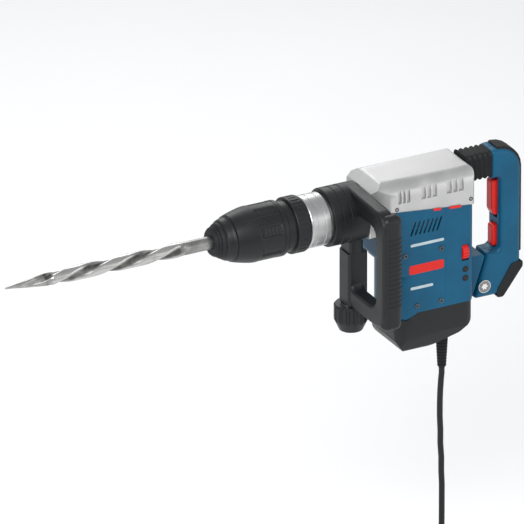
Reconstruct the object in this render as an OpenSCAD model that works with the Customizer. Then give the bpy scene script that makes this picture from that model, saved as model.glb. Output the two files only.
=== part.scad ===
// Electric jackhammer with a pointed chisel, a side handle and a mains cord.
// Shapes are drawn about the tool axis: X runs back from the side handle's clamp, Z is up.
// in_tool_frame() then moves them so that the origin is at the middle of the rear grip.

/* [Chisel] */
// Length of the chisel, end to end
chisel_len = 400; // [380:5:410]
// Diameter of the chisel's shank
shank_d = 18; // [18:0.1:18]
// Length of the twisted body
twist_len = 195; // [180:5:200]
// Length of the point
point_len = 67; // [60:1:70]

/* [Tool holder] */
// Largest diameter of the locking sleeve
sleeve_d = 76; // [74:1:78]
// How far the locking sleeve slides back
sleeve_travel = 8; // [6:0.5:8]
// How far the lock ring slides forward
ring_travel = 4; // [3:0.5:4]

/* [Neck and side handle] */
// Diameter of the bright collar on the neck
collar_d = 72; // [70:1:74]
// Diameter of the neck where the clamp sits
seat_d = 66; // [66:1:66]
// Outer reach of the side grip from the tool axis
side_reach = 112; // [108:1:116]
// Bottom of the side handle's loop, below the tool axis
loop_drop = 131; // [128:1:136]
// Diameter of the clamping nut
nut_d = 46; // [42:1:48]

/* [Housings] */
// Width of the gear housing
gear_w = 88; // [86:1:90]
// Height of the gear housing above the tool axis
gear_top = 46; // [45:1:48]
// Width of the motor housing
motor_w = 90; // [90:1:94]
// Thickness of the plastic walls
wall = 3; // [2.5:0.5:3]
// Depth of the motor housing below the tool axis
motor_drop = 146; // [144:1:148]
// Depth of the base cap below the tool axis
base_drop = 205; // [202:1:208]

/* [Rear handle] */
// Width of the rear handle
handle_w = 36; // [34:1:38]
// Height of the rear handle above the tool axis
handle_top = 50; // [49:1:52]
// Front face of the grip bar
grip_front = 262; // [261:0.5:263]
// Back face of the grip bar
grip_back = 293; // [292:1:294]

/* [Drive] */
// Crank throw, half of the piston's stroke
crank_throw = 13; // [12:0.5:13]
// Diameter of the piston and the striker
piston_d = 30; // [30:1:30]
// Teeth on the crank gear
gear_teeth = 40; // [40:1:40]
// Teeth on the motor pinion
pinion_teeth = 7; // [7:1:7]
// Gear module
gear_module = 1.25; // [1.25:0.01:1.25]

/* [Cord] */
// Diameter of the mains cord
cord_d = 8; // [7:0.5:8]
// Turns across the coil, side by side
coil_across = 4; // [4:1:4]
// Layers of turns in the coil
coil_layers = 4; // [4:1:4]
// Diameter of the plug
plug_d = 36; // [34:1:36]

/* [Hidden] */
$fn = 64;
arc_steps = 6;
cut = 1;
fit = 0.05;
slack = 0.3;

// Where the origin lies, seen from the reference point on the tool axis
grip_x = 281;
grip_drop = 45;

// Chisel and holder
shank_r = shank_d / 2;
chisel_back = -67;
chisel_tip = chisel_back - chisel_len;
twist_from = chisel_tip + point_len;
twist_to = twist_from + twist_len;
chisel_travel = 12;
segment_x = [-108, -88];
segment_w = 5.6;
groove_r = 6.5;
anvil_r = 14;
stem_r = 12;
cap_front = -164;
sleeve_front = -150;
sleeve_back = -63.5;
ring_front = sleeve_back + sleeve_travel + ring_travel + 0.5;
ring_back = -31.5;
holder_nose_r = 13.5;
holder_seat_r = 24;
holder_collar_r = 26;

// Neck
neck_front = -30;
seat_from = 1;
neck_back = 57;
collar_r = collar_d / 2;
seat_r = seat_d / 2;
tube_r = 18.6;
bore_r = piston_d / 2 + fit;

// Drive: the motor and the crank stand upright, one behind the other
motor_x = 140;
crank_x = motor_x + gear_module * (gear_teeth + pinion_teeth) / 2;
rod_len = 70;
wrist_x = crank_x + crank_throw - rod_len;
rod_half = 6;
gear_z = [-30, -21];
disc_z = [-20, -13];
gearbox_floor = -46;

// Housings
nose_x = 57;
front_x = 80;
seam_x = 165;
rear_x = 208;
gear_back = 210;
seam_front_z = 7;
seam_slope = -13.5 / 127;
function seam_z(x) = seam_front_z + seam_slope * (x - front_x);
gear_half = gear_w / 2;
gear_corner_r = 22;
motor_half = motor_w / 2;
dial_at = [194.5, -36.5, -74];
dial_r = 12;
dial_half = 4.5;

// Rear handle
pivot_at = [238, 0, -144];
pivot_r = 6;
lug_r = 11;
damper_z = 33;
bellows_x = [gear_back, 249];
trigger_pivot = [266.5, 0, -3];
handle_half = handle_w / 2;

// Side handle
loop_x = [36, 56.5];
side_grip_x = [36, 67];
grip_inner = 86;
leg_x = [34, 63];
leg_y = [-19, 12];
leg_top = -54;
clamp_r = 40;
bolt_x = 47;
bolt_r = 4;
washer_thick = 2;
nut_top = -loop_drop - washer_thick - 0.2;
nut_bottom = nut_top - 37;

// Cord: the surface that the coil lies on, and the points that the hanging stretch follows,
// seen from the origin
floor_z = -550;
cord_r = cord_d / 2;
relief_x = -97;
relief_z = -212;
cord_route = [
    [-97, 0, -212], [-97, 0, -221], [-98, 0, -231], [-99, 0, -246], [-99, 1, -265],
    [-99, 1, -285], [-98, 1, -305], [-98, 1, -325], [-97, 0, -345], [-97, 0, -365],
    [-96, 0, -385], [-96, 0, -405], [-96, 0, -425], [-96, 0, -442], [-97, 0, -456],
    [-97, 0, -470], [-97, 0, -482], [-97, -2, -494], [-97, -8, -506], [-97, -16, -514],
    [-97, -26, -519], [-97, -40, -522]
];
tail_route = [
    [-156, 19, -546], [-140, 19, -546], [-124, 19, -544], [-108, 19, -538], [-94, 19, -533],
    [-86, 19, -532], [-80, 19, -532]
];
coil_at = [-156, -40];
coil_mid_r = 47;
plug_at = [-80, 19, -532];
pin_gap = 19;
pin_r = 2.4;
pin_len = 19;

// ---- Outlines: each point is [across, up, corner radius] ----

function unit(v) = v / norm(v);
function flat(p) = [p.x, p.y];
function bend(a, b, c, r) =
    r <= 0 ? [b] :
    let (
        u = unit(a - b),
        v = unit(c - b),
        half = acos(u * v) / 2,
        mid = b + unit(u + v) * r / sin(half),
        first = b + u * r / tan(half) - mid,
        last = b + v * r / tan(half) - mid,
        start = atan2(first.y, first.x),
        turn = atan2(cross(first, last), first * last)
    )
    [for (i = [0:arc_steps])
        let (angle = start + turn * i / arc_steps)
        mid + r * [cos(angle), sin(angle)]];
function outline(p) =
    let (n = len(p))
    [for (i = [0:n - 1]) each bend(flat(p[(i + n - 1) % n]), flat(p[i]), flat(p[(i + 1) % n]), p[i].z)];

// ---- Solids from outlines and circles ----

module in_tool_frame() {
    translate([-grip_x, 0, grip_drop])
        children();
}
module side_slab(p, width) {
    rotate([90, 0, 0])
        linear_extrude(width, center = true)
            polygon(outline(p));
}
module cross_slab(p, x) {
    translate([x[0], 0, 0])
        rotate([90, 0, 90])
            linear_extrude(x[1] - x[0])
                polygon(outline(p));
}
module flat_slab(p, z) {
    translate([0, 0, z[0]])
        linear_extrude(z[1] - z[0])
            polygon(outline(p));
}
module block(x, y, z) {
    translate([x[0], y[0], z[0]])
        cube([x[1] - x[0], y[1] - y[0], z[1] - z[0]]);
}
module x_rod(r, x) {
    translate([x[0], 0, 0])
        rotate([0, 90, 0])
            cylinder(r = r, h = x[1] - x[0]);
}
module y_rod(r, y) {
    translate([0, y[0], 0])
        rotate([-90, 0, 0])
            cylinder(r = r, h = y[1] - y[0]);
}
module z_rod(r, z) {
    translate([0, 0, z[0]])
        cylinder(r = r, h = z[1] - z[0]);
}
module x_turned(p) {
    rotate([0, 90, 0])
        rotate_extrude()
            polygon([for (q = p) [q.y, q.x]]);
}
module z_turned(p) {
    rotate_extrude()
        polygon(p);
}
module z_ring(outer, inner, z) {
    difference() {
        z_rod(outer, z);
        z_rod(inner, [z[0] - cut, z[1] + cut]);
    }
}
module on_both_sides() {
    for (side = [-1, 1])
        scale([1, side, 1])
            children();
}

// ---- Chisel and tool holder ----

module chisel() {
    flutes = 4;
    lobe_r = 8.6;
    waist = 1.5;
    color("lightgray")
        in_tool_frame()
            union() {
                difference() {
                    x_rod(shank_r, [twist_to, chisel_back]);
                    for (side = [-1, 1])
                        block([segment_x[0] - 1, segment_x[1] + chisel_travel + 1],
                              [-segment_w / 2 - slack, segment_w / 2 + slack],
                              side > 0 ? [groove_r, shank_r + cut] : [-shank_r - cut, -groove_r]);
                    for (side = [-1, 1])
                        block([-100, chisel_back + cut], side > 0 ? [6.8, 10] : [-10, -6.8], [-2.5, 2.5]);
                }
                translate([twist_from, 0, 0])
                    rotate([0, 90, 0])
                        linear_extrude(twist_len, twist = 480, slices = 48)
                            polygon([for (a = [0:22.5:359])
                                (lobe_r + waist * cos(flutes * a / 2)) * [cos(a), sin(a)]]);
                x_turned([[chisel_tip, 0], [chisel_tip + 1, 1.4], [twist_from, lobe_r - waist],
                          [twist_from, 0]]);
            }
}
module dust_cap() {
    color("dimgray")
        in_tool_frame()
            x_turned([[cap_front, 9.4], [cap_front, 17.5], [-161.5, 19.5], [-153, 24.3], [-150.3, 24.3],
                      [-150.3, holder_nose_r], [-157, holder_nose_r], [-159, 9.4]]);
}
module locking_sleeve() {
    r = sleeve_d / 2;
    pockets = 8;
    color("dimgray")
        in_tool_frame()
            difference() {
                x_turned([[sleeve_front, holder_nose_r + fit], [sleeve_front, 24.8], [-148, 27],
                          [-140, 30.4], [-124, 35], [-112, r - 0.3], [-106, r], [-67, r],
                          [sleeve_back, r - 1.2], [sleeve_back, r - 2.7], [-84, r - 2.7],
                          [-84, r - 4.5], [-112, r - 4.5], [-138, 25], [-146, 20],
                          [-146, holder_nose_r + fit]]);
                for (i = [0:pockets - 1])
                    rotate([(i + 0.5) * 360 / pockets, 0, 0])
                        block([-103, -74], [-6, 6], [r - 1.6, r + 3]);
            }
}
module sleeve_spring() {
    color("silver")
        in_tool_frame()
            x_turned([[-146, 14.4], [-146, 17.6], [-124, 17.6], [-124, 14.4]]);
}
module lock_ring() {
    r = sleeve_d / 2 + 0.5;
    color("dimgray")
        in_tool_frame()
            x_turned([[-68, 31], [-68, r - 3.9], [ring_front, r - 3.9], [ring_front, r - 1.5],
                      [ring_front + 1.5, r], [ring_back - 3, r], [ring_back, r - 2],
                      [ring_back, holder_seat_r + fit], [-60, holder_seat_r + fit], [-60, 31]]);
}
module tool_holder() {
    color("gray")
        in_tool_frame()
            difference() {
                x_turned([[-157, shank_r + fit], [-157, holder_nose_r], [-124, holder_nose_r],
                          [-124, 19], [-120, 19], [-120, 16.2], [-70, 16.2], [-70, holder_seat_r],
                          [neck_front - 0.5, holder_seat_r], [neck_front + 0.5, holder_collar_r - fit],
                          [-4, holder_collar_r - fit], [-4, anvil_r + fit], [-80, anvil_r + fit],
                          [-80, shank_r + fit]]);
                for (side = [-1, 1])
                    block([segment_x[0] - 0.1, segment_x[1] + 0.1],
                          [-segment_w / 2 - 0.1, segment_w / 2 + 0.1],
                          side > 0 ? [0, 20] : [-20, 0]);
            }
}
module segment(side) {
    block(segment_x, [-segment_w / 2, segment_w / 2], side > 0 ? [7, 17] : [-17, -7]);
}
module segment_top() {
    color("silver")
        in_tool_frame()
            segment(1);
}
module segment_bottom() {
    color("silver")
        in_tool_frame()
            segment(-1);
}

// ---- Neck and hammer mechanism, on the tool axis ----

module neck() {
    color("gainsboro")
        in_tool_frame()
            x_turned([[neck_front, holder_collar_r], [neck_front, collar_r - 1.5],
                      [neck_front + 1.5, collar_r], [seat_from - 1.5, collar_r],
                      [seat_from, collar_r - 1.5], [seat_from, seat_r], [neck_back, seat_r],
                      [neck_back, tube_r], [neck_back - 4, tube_r], [neck_back - 4, 28], [2, 28],
                      [2, tube_r], [-3, tube_r], [-3, holder_collar_r]]);
}
module anvil() {
    color("silver")
        in_tool_frame()
            x_turned([[chisel_back + slack, 0], [chisel_back + slack, anvil_r - 2],
                      [chisel_back + 4, anvil_r], [-6, anvil_r], [-5, stem_r], [10, stem_r],
                      [10, 0]]);
}
module striker() {
    color("silver")
        in_tool_frame()
            difference() {
                x_rod(piston_d / 2, [14, 50]);
                x_rod(9, [38, 51]);
            }
}
module piston() {
    color("gainsboro")
        in_tool_frame()
            difference() {
                x_rod(piston_d / 2, [wrist_x - 12, wrist_x + 12]);
                x_rod(11, [wrist_x - 8, wrist_x + 13]);
                translate([wrist_x, 0, 0])
                    y_rod(4, [-20, 20]);
            }
}
module wrist_pin() {
    color("silver")
        in_tool_frame()
            translate([wrist_x, 0, 0])
                y_rod(4, [-14, 14]);
}
module connecting_rod() {
    big_x = crank_x + crank_throw;
    color("gray")
        in_tool_frame()
            difference() {
                union() {
                    block([wrist_x, big_x - 5], [-4, 4], [-4, 4]);
                    translate([wrist_x, 0, 0])
                        y_rod(6.5, [-rod_half, rod_half]);
                    translate([big_x, 0, 0])
                        z_rod(9, [-rod_half, rod_half]);
                }
                translate([wrist_x, 0, 0])
                    y_rod(4, [-7, 7]);
            }
}
module hammer_tube() {
    color("silver")
        in_tool_frame()
            x_turned([[-2.8, stem_r + 0.1], [-2.8, tube_r], [128, tube_r], [128, bore_r],
                      [3, bore_r], [3, stem_r + 0.1]]);
}

// ---- Gear housing and crank ----

module side_pockets() {
    groups = [[94, 112], [129, 152], [167, 192]];
    ribs = 2;
    rib_w = 2.2;
    depth = 3;
    for (g = groups)
        on_both_sides()
            difference() {
                block(g, [gear_half - depth, gear_half + cut], [17, 37]);
                for (i = [1:ribs])
                    block([g[0] + i * (g[1] - g[0]) / (ribs + 1) - rib_w / 2,
                           g[0] + i * (g[1] - g[0]) / (ribs + 1) + rib_w / 2],
                          [gear_half - depth - cut, gear_half + 2 * cut], [15, 39]);
            }
}
module gear_housing() {
    h = gear_half;
    color("gainsboro")
        in_tool_frame()
            difference() {
                union() {
                    intersection() {
                        cross_slab([[-h, -33, 24], [h, -33, 24], [h, gear_top, gear_corner_r], [-h, gear_top, gear_corner_r]],
                                   [nose_x, gear_back]);
                        side_slab([[nose_x, -33, 0], [front_x, -33, 0], [front_x, seam_front_z, 0],
                                   [gear_back, seam_z(gear_back), 0], [gear_back, gear_top - 1, 5],
                                   [76, gear_top, 12], [nose_x, 34, 6]], gear_w + 2);
                        flat_slab([[nose_x, -33, 2], [84, -h, 10], [gear_back, -h, 6],
                                   [gear_back, h, 6], [84, h, 10], [nose_x, 33, 2]], [-40, 60]);
                    }
                    block([60, 128], [-27, 27], [-27, 8]);
                    block([120, 199], [-36, 36], [gearbox_floor, 8]);
                }
                x_rod(tube_r, [50, 130]);
                difference() {
                    block([124, 195], [-32, 32], [gearbox_floor + 4, 14]);
                    translate([motor_x, 0, 0])
                        z_rod(16, [gearbox_floor, -32]);
                    translate([crank_x, 0, 0])
                        z_rod(14, [gearbox_floor, -34]);
                }
                translate([motor_x, 0, 0])
                    z_rod(13, [-42, -31]);
                translate([motor_x, 0, 0])
                    z_rod(7, [gearbox_floor - cut, -31]);
                translate([crank_x, 0, 0])
                    z_rod(11, [-44, -31]);
                cross_slab([[-h + 5, 12, 2], [h - 5, 12, 2], [h - 5, gear_top - 4, gear_corner_r - 5],
                            [-h + 5, gear_top - 4, gear_corner_r - 5]], [90, gear_back - 4]);
                side_pockets();
                translate([0, 0, damper_z])
                    x_rod(5, [200, gear_back + cut]);
            }
}
module toothed_wheel(teeth, tip_r, z) {
    depth = 1.2;
    difference() {
        z_rod(tip_r, z);
        for (i = [0:teeth - 1])
            rotate([0, 0, i * 360 / teeth])
                translate([tip_r, 0, z[0] - cut])
                    cylinder(r = depth, h = z[1] - z[0] + 2 * cut, $fn = 4);
    }
}
module crank_gear() {
    color("gray")
        in_tool_frame()
            translate([crank_x, 0, 0])
                difference() {
                    toothed_wheel(gear_teeth, gear_module * gear_teeth / 2 - 0.15, gear_z);
                    z_rod(6, [gear_z[0] - cut, gear_z[1] + cut]);
                }
}
module crank_shaft() {
    color("silver")
        in_tool_frame()
            translate([crank_x, 0, 0]) {
                z_rod(5, [-43.5, gear_z[0]]);
                z_rod(6, [gear_z[0], disc_z[0]]);
                z_rod(20, disc_z);
                translate([crank_throw, 0, 0])
                    z_rod(5, [disc_z[1], -rod_half - slack]);
            }
}
module crank_bearings() {
    color("silver")
        in_tool_frame()
            translate([crank_x, 0, 0])
                z_ring(11, 5 + fit, [-44, -34]);
}
module housing_screws() {
    places = [[122, -136], [158, -136], [104, -60], [158, -60]];
    color("gray")
        in_tool_frame()
            on_both_sides()
                for (p = places)
                    translate([p.x, 0, p.y])
                        difference() {
                            y_rod(3.4, [motor_half, motor_half + 1.4]);
                            y_rod(1.5, [motor_half + 0.6, motor_half + 2]);
                        }
}

// ---- Motor housing, rear cover and base ----

module vents() {
    slots = 7;
    for (i = [0:slots - 1])
        translate([116 + 6.5 * i, 0, -23])
            rotate([0, 20, 0])
                block([-1.4, 1.4], [-motor_half - cut, motor_half + cut], [-10, 10]);
}
module motor_housing() {
    h = motor_half;
    d = motor_drop;
    color("steelblue")
        in_tool_frame()
            difference() {
                intersection() {
                    side_slab([[front_x, seam_front_z, 0], [front_x, -72, 8], [97, -86, 8],
                               [97, -d - 10, 3], [106, -d - 10, 5], [122, -d, 8], [seam_x, -d, 0],
                               [seam_x, seam_z(seam_x), 0]], motor_w + 2);
                    union() {
                        flat_slab([[front_x, -h, 12], [seam_x, -h, 0], [seam_x, h, 0], [front_x, h, 12]],
                                  [-90, 10]);
                        flat_slab([[97, -h, 22], [seam_x, -h, 0], [seam_x, h, 0], [97, h, 22]],
                                  [-d - 20, -84]);
                    }
                }
                difference() {
                    intersection() {
                        side_slab([[front_x + wall, 20, 0], [front_x + wall, -70, 6], [100, -84, 6],
                                   [100, -d - 20, 0], [seam_x + cut, -d - 20, 0],
                                   [seam_x + cut, 20, 0]], motor_w - 2 * wall);
                        flat_slab([[front_x + wall, -h + wall, 10], [seam_x + 5, -h + wall, 0],
                                   [seam_x + 5, h - wall, 0], [front_x + wall, h - wall, 10]],
                                  [-d - 20, 20]);
                    }
                    on_both_sides()
                        block([130, 150], [37, 44], [-112, -64]);
                    on_both_sides()
                        translate([100, h - wall, -90])
                            rotate([0, 0, 45])
                                block([-12, 12], [-12, 12], [-90, 3]);
                }
                block([front_x - cut, front_x + wall + cut], [-27.5, 27.5], [-27.5, 12]);
                vents();
            }
}
module rear_cover() {
    h = motor_half;
    d = motor_drop;
    color("steelblue")
        in_tool_frame()
            difference() {
                union() {
                    difference() {
                        intersection() {
                            side_slab([[seam_x, seam_z(seam_x), 0], [seam_x, -d, 0], [rear_x, -d, 0],
                                       [rear_x, seam_z(rear_x), 0]], motor_w + 2);
                            flat_slab([[seam_x, -h, 0], [rear_x, -h, 9], [rear_x, h, 9],
                                       [seam_x, h, 0]], [-d - cut, 10]);
                        }
                        flat_slab([[seam_x - cut, -h + wall, 0], [rear_x - wall, -h + wall, 7],
                                   [rear_x - wall, h - wall, 7], [seam_x - cut, h - wall, 0]],
                                  [-d - cut, 10]);
                    }
                    side_slab([[199.5, -97, 0], [239.5, -97, 4], [219.5, -157, 3], [rear_x, -153, 2],
                               [rear_x, -d, 0], [199.5, -d, 0]], handle_w);
                    side_slab([[212, -132, 0], [pivot_at.x, pivot_at.z + lug_r, 0],
                               [pivot_at.x, pivot_at.z - lug_r, 0], [212, -153, 0]], 17.4);
                    translate(pivot_at)
                        y_rod(lug_r, [-8.7, 8.7]);
                }
                translate(pivot_at)
                    y_rod(pivot_r + fit, [-20, 20]);
                block([dial_at.x - 5.2, dial_at.x + 5.2], [-h - cut, -h + wall + 3 * cut],
                      [dial_at.z - 11.6, dial_at.z + 11.6]);
            }
}
module base_cap() {
    h = motor_half;
    d = motor_drop;
    b = base_drop;
    color("dimgray")
        in_tool_frame()
            difference() {
                intersection() {
                    side_slab([[93, -d - 10, 0], [106.4, -d - 10, 0], [122, -d, 0], [rear_x + 2, -d, 0],
                               [rear_x + 2, -171, 5], [188, -b + 15, 8], [140, -b, 8], [106, -b, 10],
                               [96, -188, 8]], motor_w + 4);
                    flat_slab([[94, -h, 22], [rear_x, -h, 12], [rear_x, h, 12], [94, h, 22]],
                              [-b - cut, -d + cut]);
                    cross_slab([[-h - cut, -d + 2, 0], [-h - cut, -177, 12], [-h + 9, -b - cut / 4, 10],
                                [h - 9, -b - cut / 4, 10], [h + cut, -177, 12], [h + cut, -d + 2, 0]],
                               [90, rear_x + 3]);
                }
                difference() {
                    flat_slab([[103, -h + 7, 16], [rear_x - 6, -h + 7, 8], [rear_x - 6, h - 7, 8],
                               [103, h - 7, 16]], [-180, -d + cut]);
                    difference() {
                        block([motor_x - 14, motor_x + 14], [-h, h], [-163, -151]);
                        translate([motor_x, 0, 0])
                            z_rod(11, [-161, -150]);
                        translate([motor_x, 0, 0])
                            z_rod(7, [-164, -150]);
                    }
                }
                translate([relief_x + grip_x, 0, 0])
                    z_rod(8, [-b - cut, -170]);
            }
}

// ---- Motor ----

module stator_core() {
    color("gray")
        in_tool_frame()
            translate([motor_x, 0, 0])
                z_ring(36.8, 23, [-112, -64]);
}
module field_coils() {
    color("chocolate")
        in_tool_frame()
            translate([motor_x, 0, 0]) {
                z_ring(34, 25, [-120, -112]);
                z_ring(34, 25, [-64, -58.5]);
            }
}
module armature_shaft() {
    color("silver")
        in_tool_frame()
            translate([motor_x, 0, 0]) {
                z_rod(5, [-160.5, gear_z[0] - 0.5]);
                toothed_wheel(pinion_teeth, gear_module * pinion_teeth / 2 - 0.15,
                              [gear_z[0] - 0.5, gear_z[1] + 1]);
            }
}
module on_shaft(outer, z) {
    translate([motor_x, 0, 0])
        z_ring(outer, 5, z);
}
module armature_core() {
    color("gray")
        in_tool_frame()
            on_shaft(22.2, [-110, -66]);
}
module armature_windings() {
    color("chocolate")
        in_tool_frame() {
            on_shaft(19, [-119, -110]);
            on_shaft(19, [-66, -59.5]);
        }
}
module commutator() {
    color("peru")
        in_tool_frame()
            on_shaft(14, [-142, -122]);
}
module fan() {
    blades = 12;
    color("whitesmoke")
        in_tool_frame() {
            on_shaft(33, [-57.5, -55.5]);
            on_shaft(9, [-55.5, -48]);
            translate([motor_x, 0, 0])
                for (i = [0:blades - 1])
                    rotate([0, 0, i * 360 / blades])
                        block([14, 32], [-0.8, 0.8], [-55.5, -48]);
        }
}
module motor_bearings() {
    color("silver")
        in_tool_frame()
            translate([motor_x, 0, 0]) {
                z_ring(13, 5 + fit, [-42, -32]);
                z_ring(11, 5 + fit, [-161, -151]);
            }
}
module brush_holders() {
    color("goldenrod")
        in_tool_frame()
            on_both_sides()
                difference() {
                    block([motor_x - 6, motor_x + 6], [18, 40], [-138, -126]);
                    block([motor_x - 4, motor_x + 4], [17, 38], [-136, -128]);
                }
}
module carbon_brushes() {
    color("black")
        in_tool_frame()
            on_both_sides()
                block([motor_x - 4, motor_x + 4], [14 + slack, 32], [-136, -128]);
}
module control_module() {
    color("darkgreen")
        in_tool_frame()
            block([112, 166], [-24, 24], [-179, -167]);
}
module speed_dial() {
    notches = 16;
    color("red")
        in_tool_frame()
            translate(dial_at)
                difference() {
                    union() {
                        x_rod(dial_r, [-dial_half, dial_half]);
                        x_rod(2, [-dial_half - 1.5, dial_half + 1.5]);
                    }
                    for (i = [0:notches - 1])
                        rotate([i * 360 / notches, 0, 0])
                            block([-dial_half - cut, dial_half + cut], [-0.7, 0.7],
                                  [dial_r - 0.9, dial_r + cut]);
                }
}
module lamps() {
    color("darkslategray")
        in_tool_frame()
            for (z = [-98, -111])
                translate([dial_at.x, 0, z])
                    y_rod(2.6, [-motor_half - 1, -motor_half]);
}

// ---- Rear handle ----

handle_profile = [
    [bellows_x[1], handle_top, 4], [grip_back, handle_top, 32], [grip_back, -122, 16],
    [264, -161, 14], [223, -161, 4], [243, -98, 3], [grip_front, -98, 9], [grip_front, 9, 5],
    [bellows_x[1], 9, 0]
];
module handle_shell(side) {
    pocket = handle_half - wall;
    intersection() {
        difference() {
            side_slab(handle_profile, handle_w);
            side_slab([[grip_front + 5, handle_top - 8, 4], [grip_back - 5, handle_top - 8, 12],
                       [grip_back - 5, -100, 12], [grip_front + 5, -100, 4]], 2 * pocket);
            side_slab([[210, -170, 0], [252, -170, 0], [252, -124, 0], [210, -124, 0]], 18.6);
            translate(pivot_at)
                y_rod(pivot_r, [-20, 20]);
            block([246, 279], [-9, 9], [-54, 5]);
            block([246, 279], [-8, 8], [-96, -62]);
            translate([0, 0, damper_z])
                x_rod(9, [245, 268]);
        }
        block([200, 310], side > 0 ? [0, 40] : [-40, 0], [-180, 80]);
    }
}
module handle_left() {
    color("steelblue")
        in_tool_frame()
            handle_shell(-1);
}
module handle_right() {
    color("steelblue")
        in_tool_frame()
            handle_shell(1);
}
module handle_soft_grip() {
    color("dimgray")
        in_tool_frame()
            difference() {
                side_slab([[259, handle_top + 2.5, 1], [grip_back + 3, handle_top + 2.5, 34],
                           [grip_back + 3, -106, 1.5], [278, -106, 0], [259, 36, 0]], handle_w - 8);
                side_slab(handle_profile, handle_w + 2);
            }
}
module trigger() {
    color("red")
        in_tool_frame()
            union() {
                side_slab([[254, 2, 4], [270, 2, 3], [270, -49, 2], [258, -49, 4], [254, -41, 6]], 16);
                translate(trigger_pivot)
                    y_rod(2.4, [-8.8, 8.8]);
            }
}
module lock_button() {
    color("red")
        in_tool_frame()
            side_slab([[255.5, -64, 3], [272, -64, 2], [272, -94, 2], [255.5, -94, 3]], 14);
}
module switch_body() {
    color("dimgray")
        in_tool_frame()
            block([279.5, 287.5], [-11, 11], [-64, -2]);
}
module bellows() {
    folds = 5;
    step = (bellows_x[1] - bellows_x[0]) / folds;
    h = handle_half;
    top = handle_top;
    color("dimgray")
        in_tool_frame()
            difference() {
                for (i = [0:folds - 1]) {
                    cross_slab([[-h, 10, 5], [h, 10, 5], [h, top, 9], [-h, top, 9]],
                               [bellows_x[0] + i * step, bellows_x[0] + (i + 0.6) * step]);
                    cross_slab([[-h + 2.5, 12.5, 4], [h - 2.5, 12.5, 4], [h - 2.5, top - 2.5, 7],
                                [-h + 2.5, top - 2.5, 7]],
                               [bellows_x[0] + (i + 0.6) * step, bellows_x[0] + (i + 1) * step]);
                }
                cross_slab([[-h + 5, 15, 3], [h - 5, 15, 3], [h - 5, top - 5, 5], [-h + 5, top - 5, 5]],
                           [bellows_x[0] - cut, bellows_x[1] + cut]);
            }
}
module damper_spring() {
    color("silver")
        in_tool_frame()
            translate([0, 0, damper_z])
                x_turned([[bellows_x[0], 7], [bellows_x[0], 10.5], [bellows_x[1], 10.5],
                          [bellows_x[1], 7]]);
}
module damper_rod() {
    color("silver")
        in_tool_frame()
            translate([0, 0, damper_z])
                x_rod(5, [gear_back - 4, 262]);
}
module pivot_pin() {
    color("gainsboro")
        in_tool_frame()
            translate(pivot_at) {
                y_rod(pivot_r, [-handle_half, handle_half]);
                on_both_sides()
                    y_rod(9, [handle_half, handle_half + 1.2]);
            }
}
module bumper() {
    color("dimgray")
        in_tool_frame()
            difference() {
                side_slab([[279, -119, 4], [295.5, -117, 3], [295.5, -126, 5], [266, -165, 5],
                           [256, -164, 3], [258, -152, 6]], handle_w + 2);
                side_slab(handle_profile, handle_w);
            }
}

// ---- Side handle ----

module clamp_band() {
    color("gray")
        in_tool_frame()
            difference() {
                union() {
                    x_rod(seat_r + 2, [30, 54]);
                    block([bolt_x - 7, bolt_x + 7], [-8, 8], [-40, -34]);
                }
                x_rod(seat_r + fit, [29, 55]);
            }
}
module handle_loop() {
    outer = [[-side_reach, 37, 24], [-side_reach, -loop_drop, 26], [leg_y[1], -loop_drop, 5],
             [leg_y[1], 0, 0], [0, clamp_r, 0]];
    gap = [[-grip_inner, 10, 14], [-grip_inner, -105, 16], [-13, -105, 10], [-13, -20, 0],
           [-25, 10, 0]];
    color("dimgray")
        in_tool_frame()
            difference() {
                union() {
                    difference() {
                        cross_slab(outer, loop_x);
                        cross_slab(gap, [loop_x[0] - cut, loop_x[1] + cut]);
                    }
                    intersection() {
                        cross_slab(outer, side_grip_x);
                        flat_slab([[side_grip_x[0], -side_reach, 11], [side_grip_x[1], -side_reach, 11],
                                   [side_grip_x[1], -grip_inner, 11],
                                   [side_grip_x[0], -grip_inner, 11]], [-140, 50]);
                    }
                    flat_slab([[leg_x[0], leg_y[0], 5], [leg_x[1], leg_y[0], 5],
                               [leg_x[1], leg_y[1], 5], [leg_x[0], leg_y[1], 5]], [-loop_drop, leg_top]);
                    block([leg_x[0], 56], leg_y, [leg_top - 1, -30]);
                    x_rod(clamp_r, [3, 56]);
                    block([6, 52], [-16, 16], [30, clamp_r + 2]);
                }
                x_rod(seat_r + fit, [2, 70]);
                x_rod(seat_r + 2, [30, 54]);
                block([bolt_x - 7, bolt_x + 7], [-8, 8], [-40, -30]);
                translate([bolt_x, 0, 0])
                    z_rod(bolt_r, [-loop_drop - cut, -30]);
                grip_skin();
            }
}
module grip_skin() {
    inset = 4;
    x = side_grip_x;
    y = [-side_reach, -grip_inner];
    difference() {
        flat_slab([[x[0], y[0], 11], [x[1], y[0], 11], [x[1], y[1], 11], [x[0], y[1], 11]], [-98, 4]);
        flat_slab([[x[0] + inset, y[0] + inset, 8], [x[1] - inset, y[0] + inset, 8],
                   [x[1] - inset, y[1] - inset, 8], [x[0] + inset, y[1] - inset, 8]], [-99, 5]);
    }
}
module grip_sleeve() {
    color("dimgray")
        in_tool_frame()
            grip_skin();
}
module clamp_bolt() {
    color("silver")
        in_tool_frame()
            translate([bolt_x, 0, 0])
                z_rod(bolt_r, [nut_top - 24, -40]);
}
module clamp_washer() {
    color("silver")
        in_tool_frame()
            translate([bolt_x, 0, 0])
                z_ring(14, bolt_r + 0.1, [-loop_drop - washer_thick, -loop_drop]);
}
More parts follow.
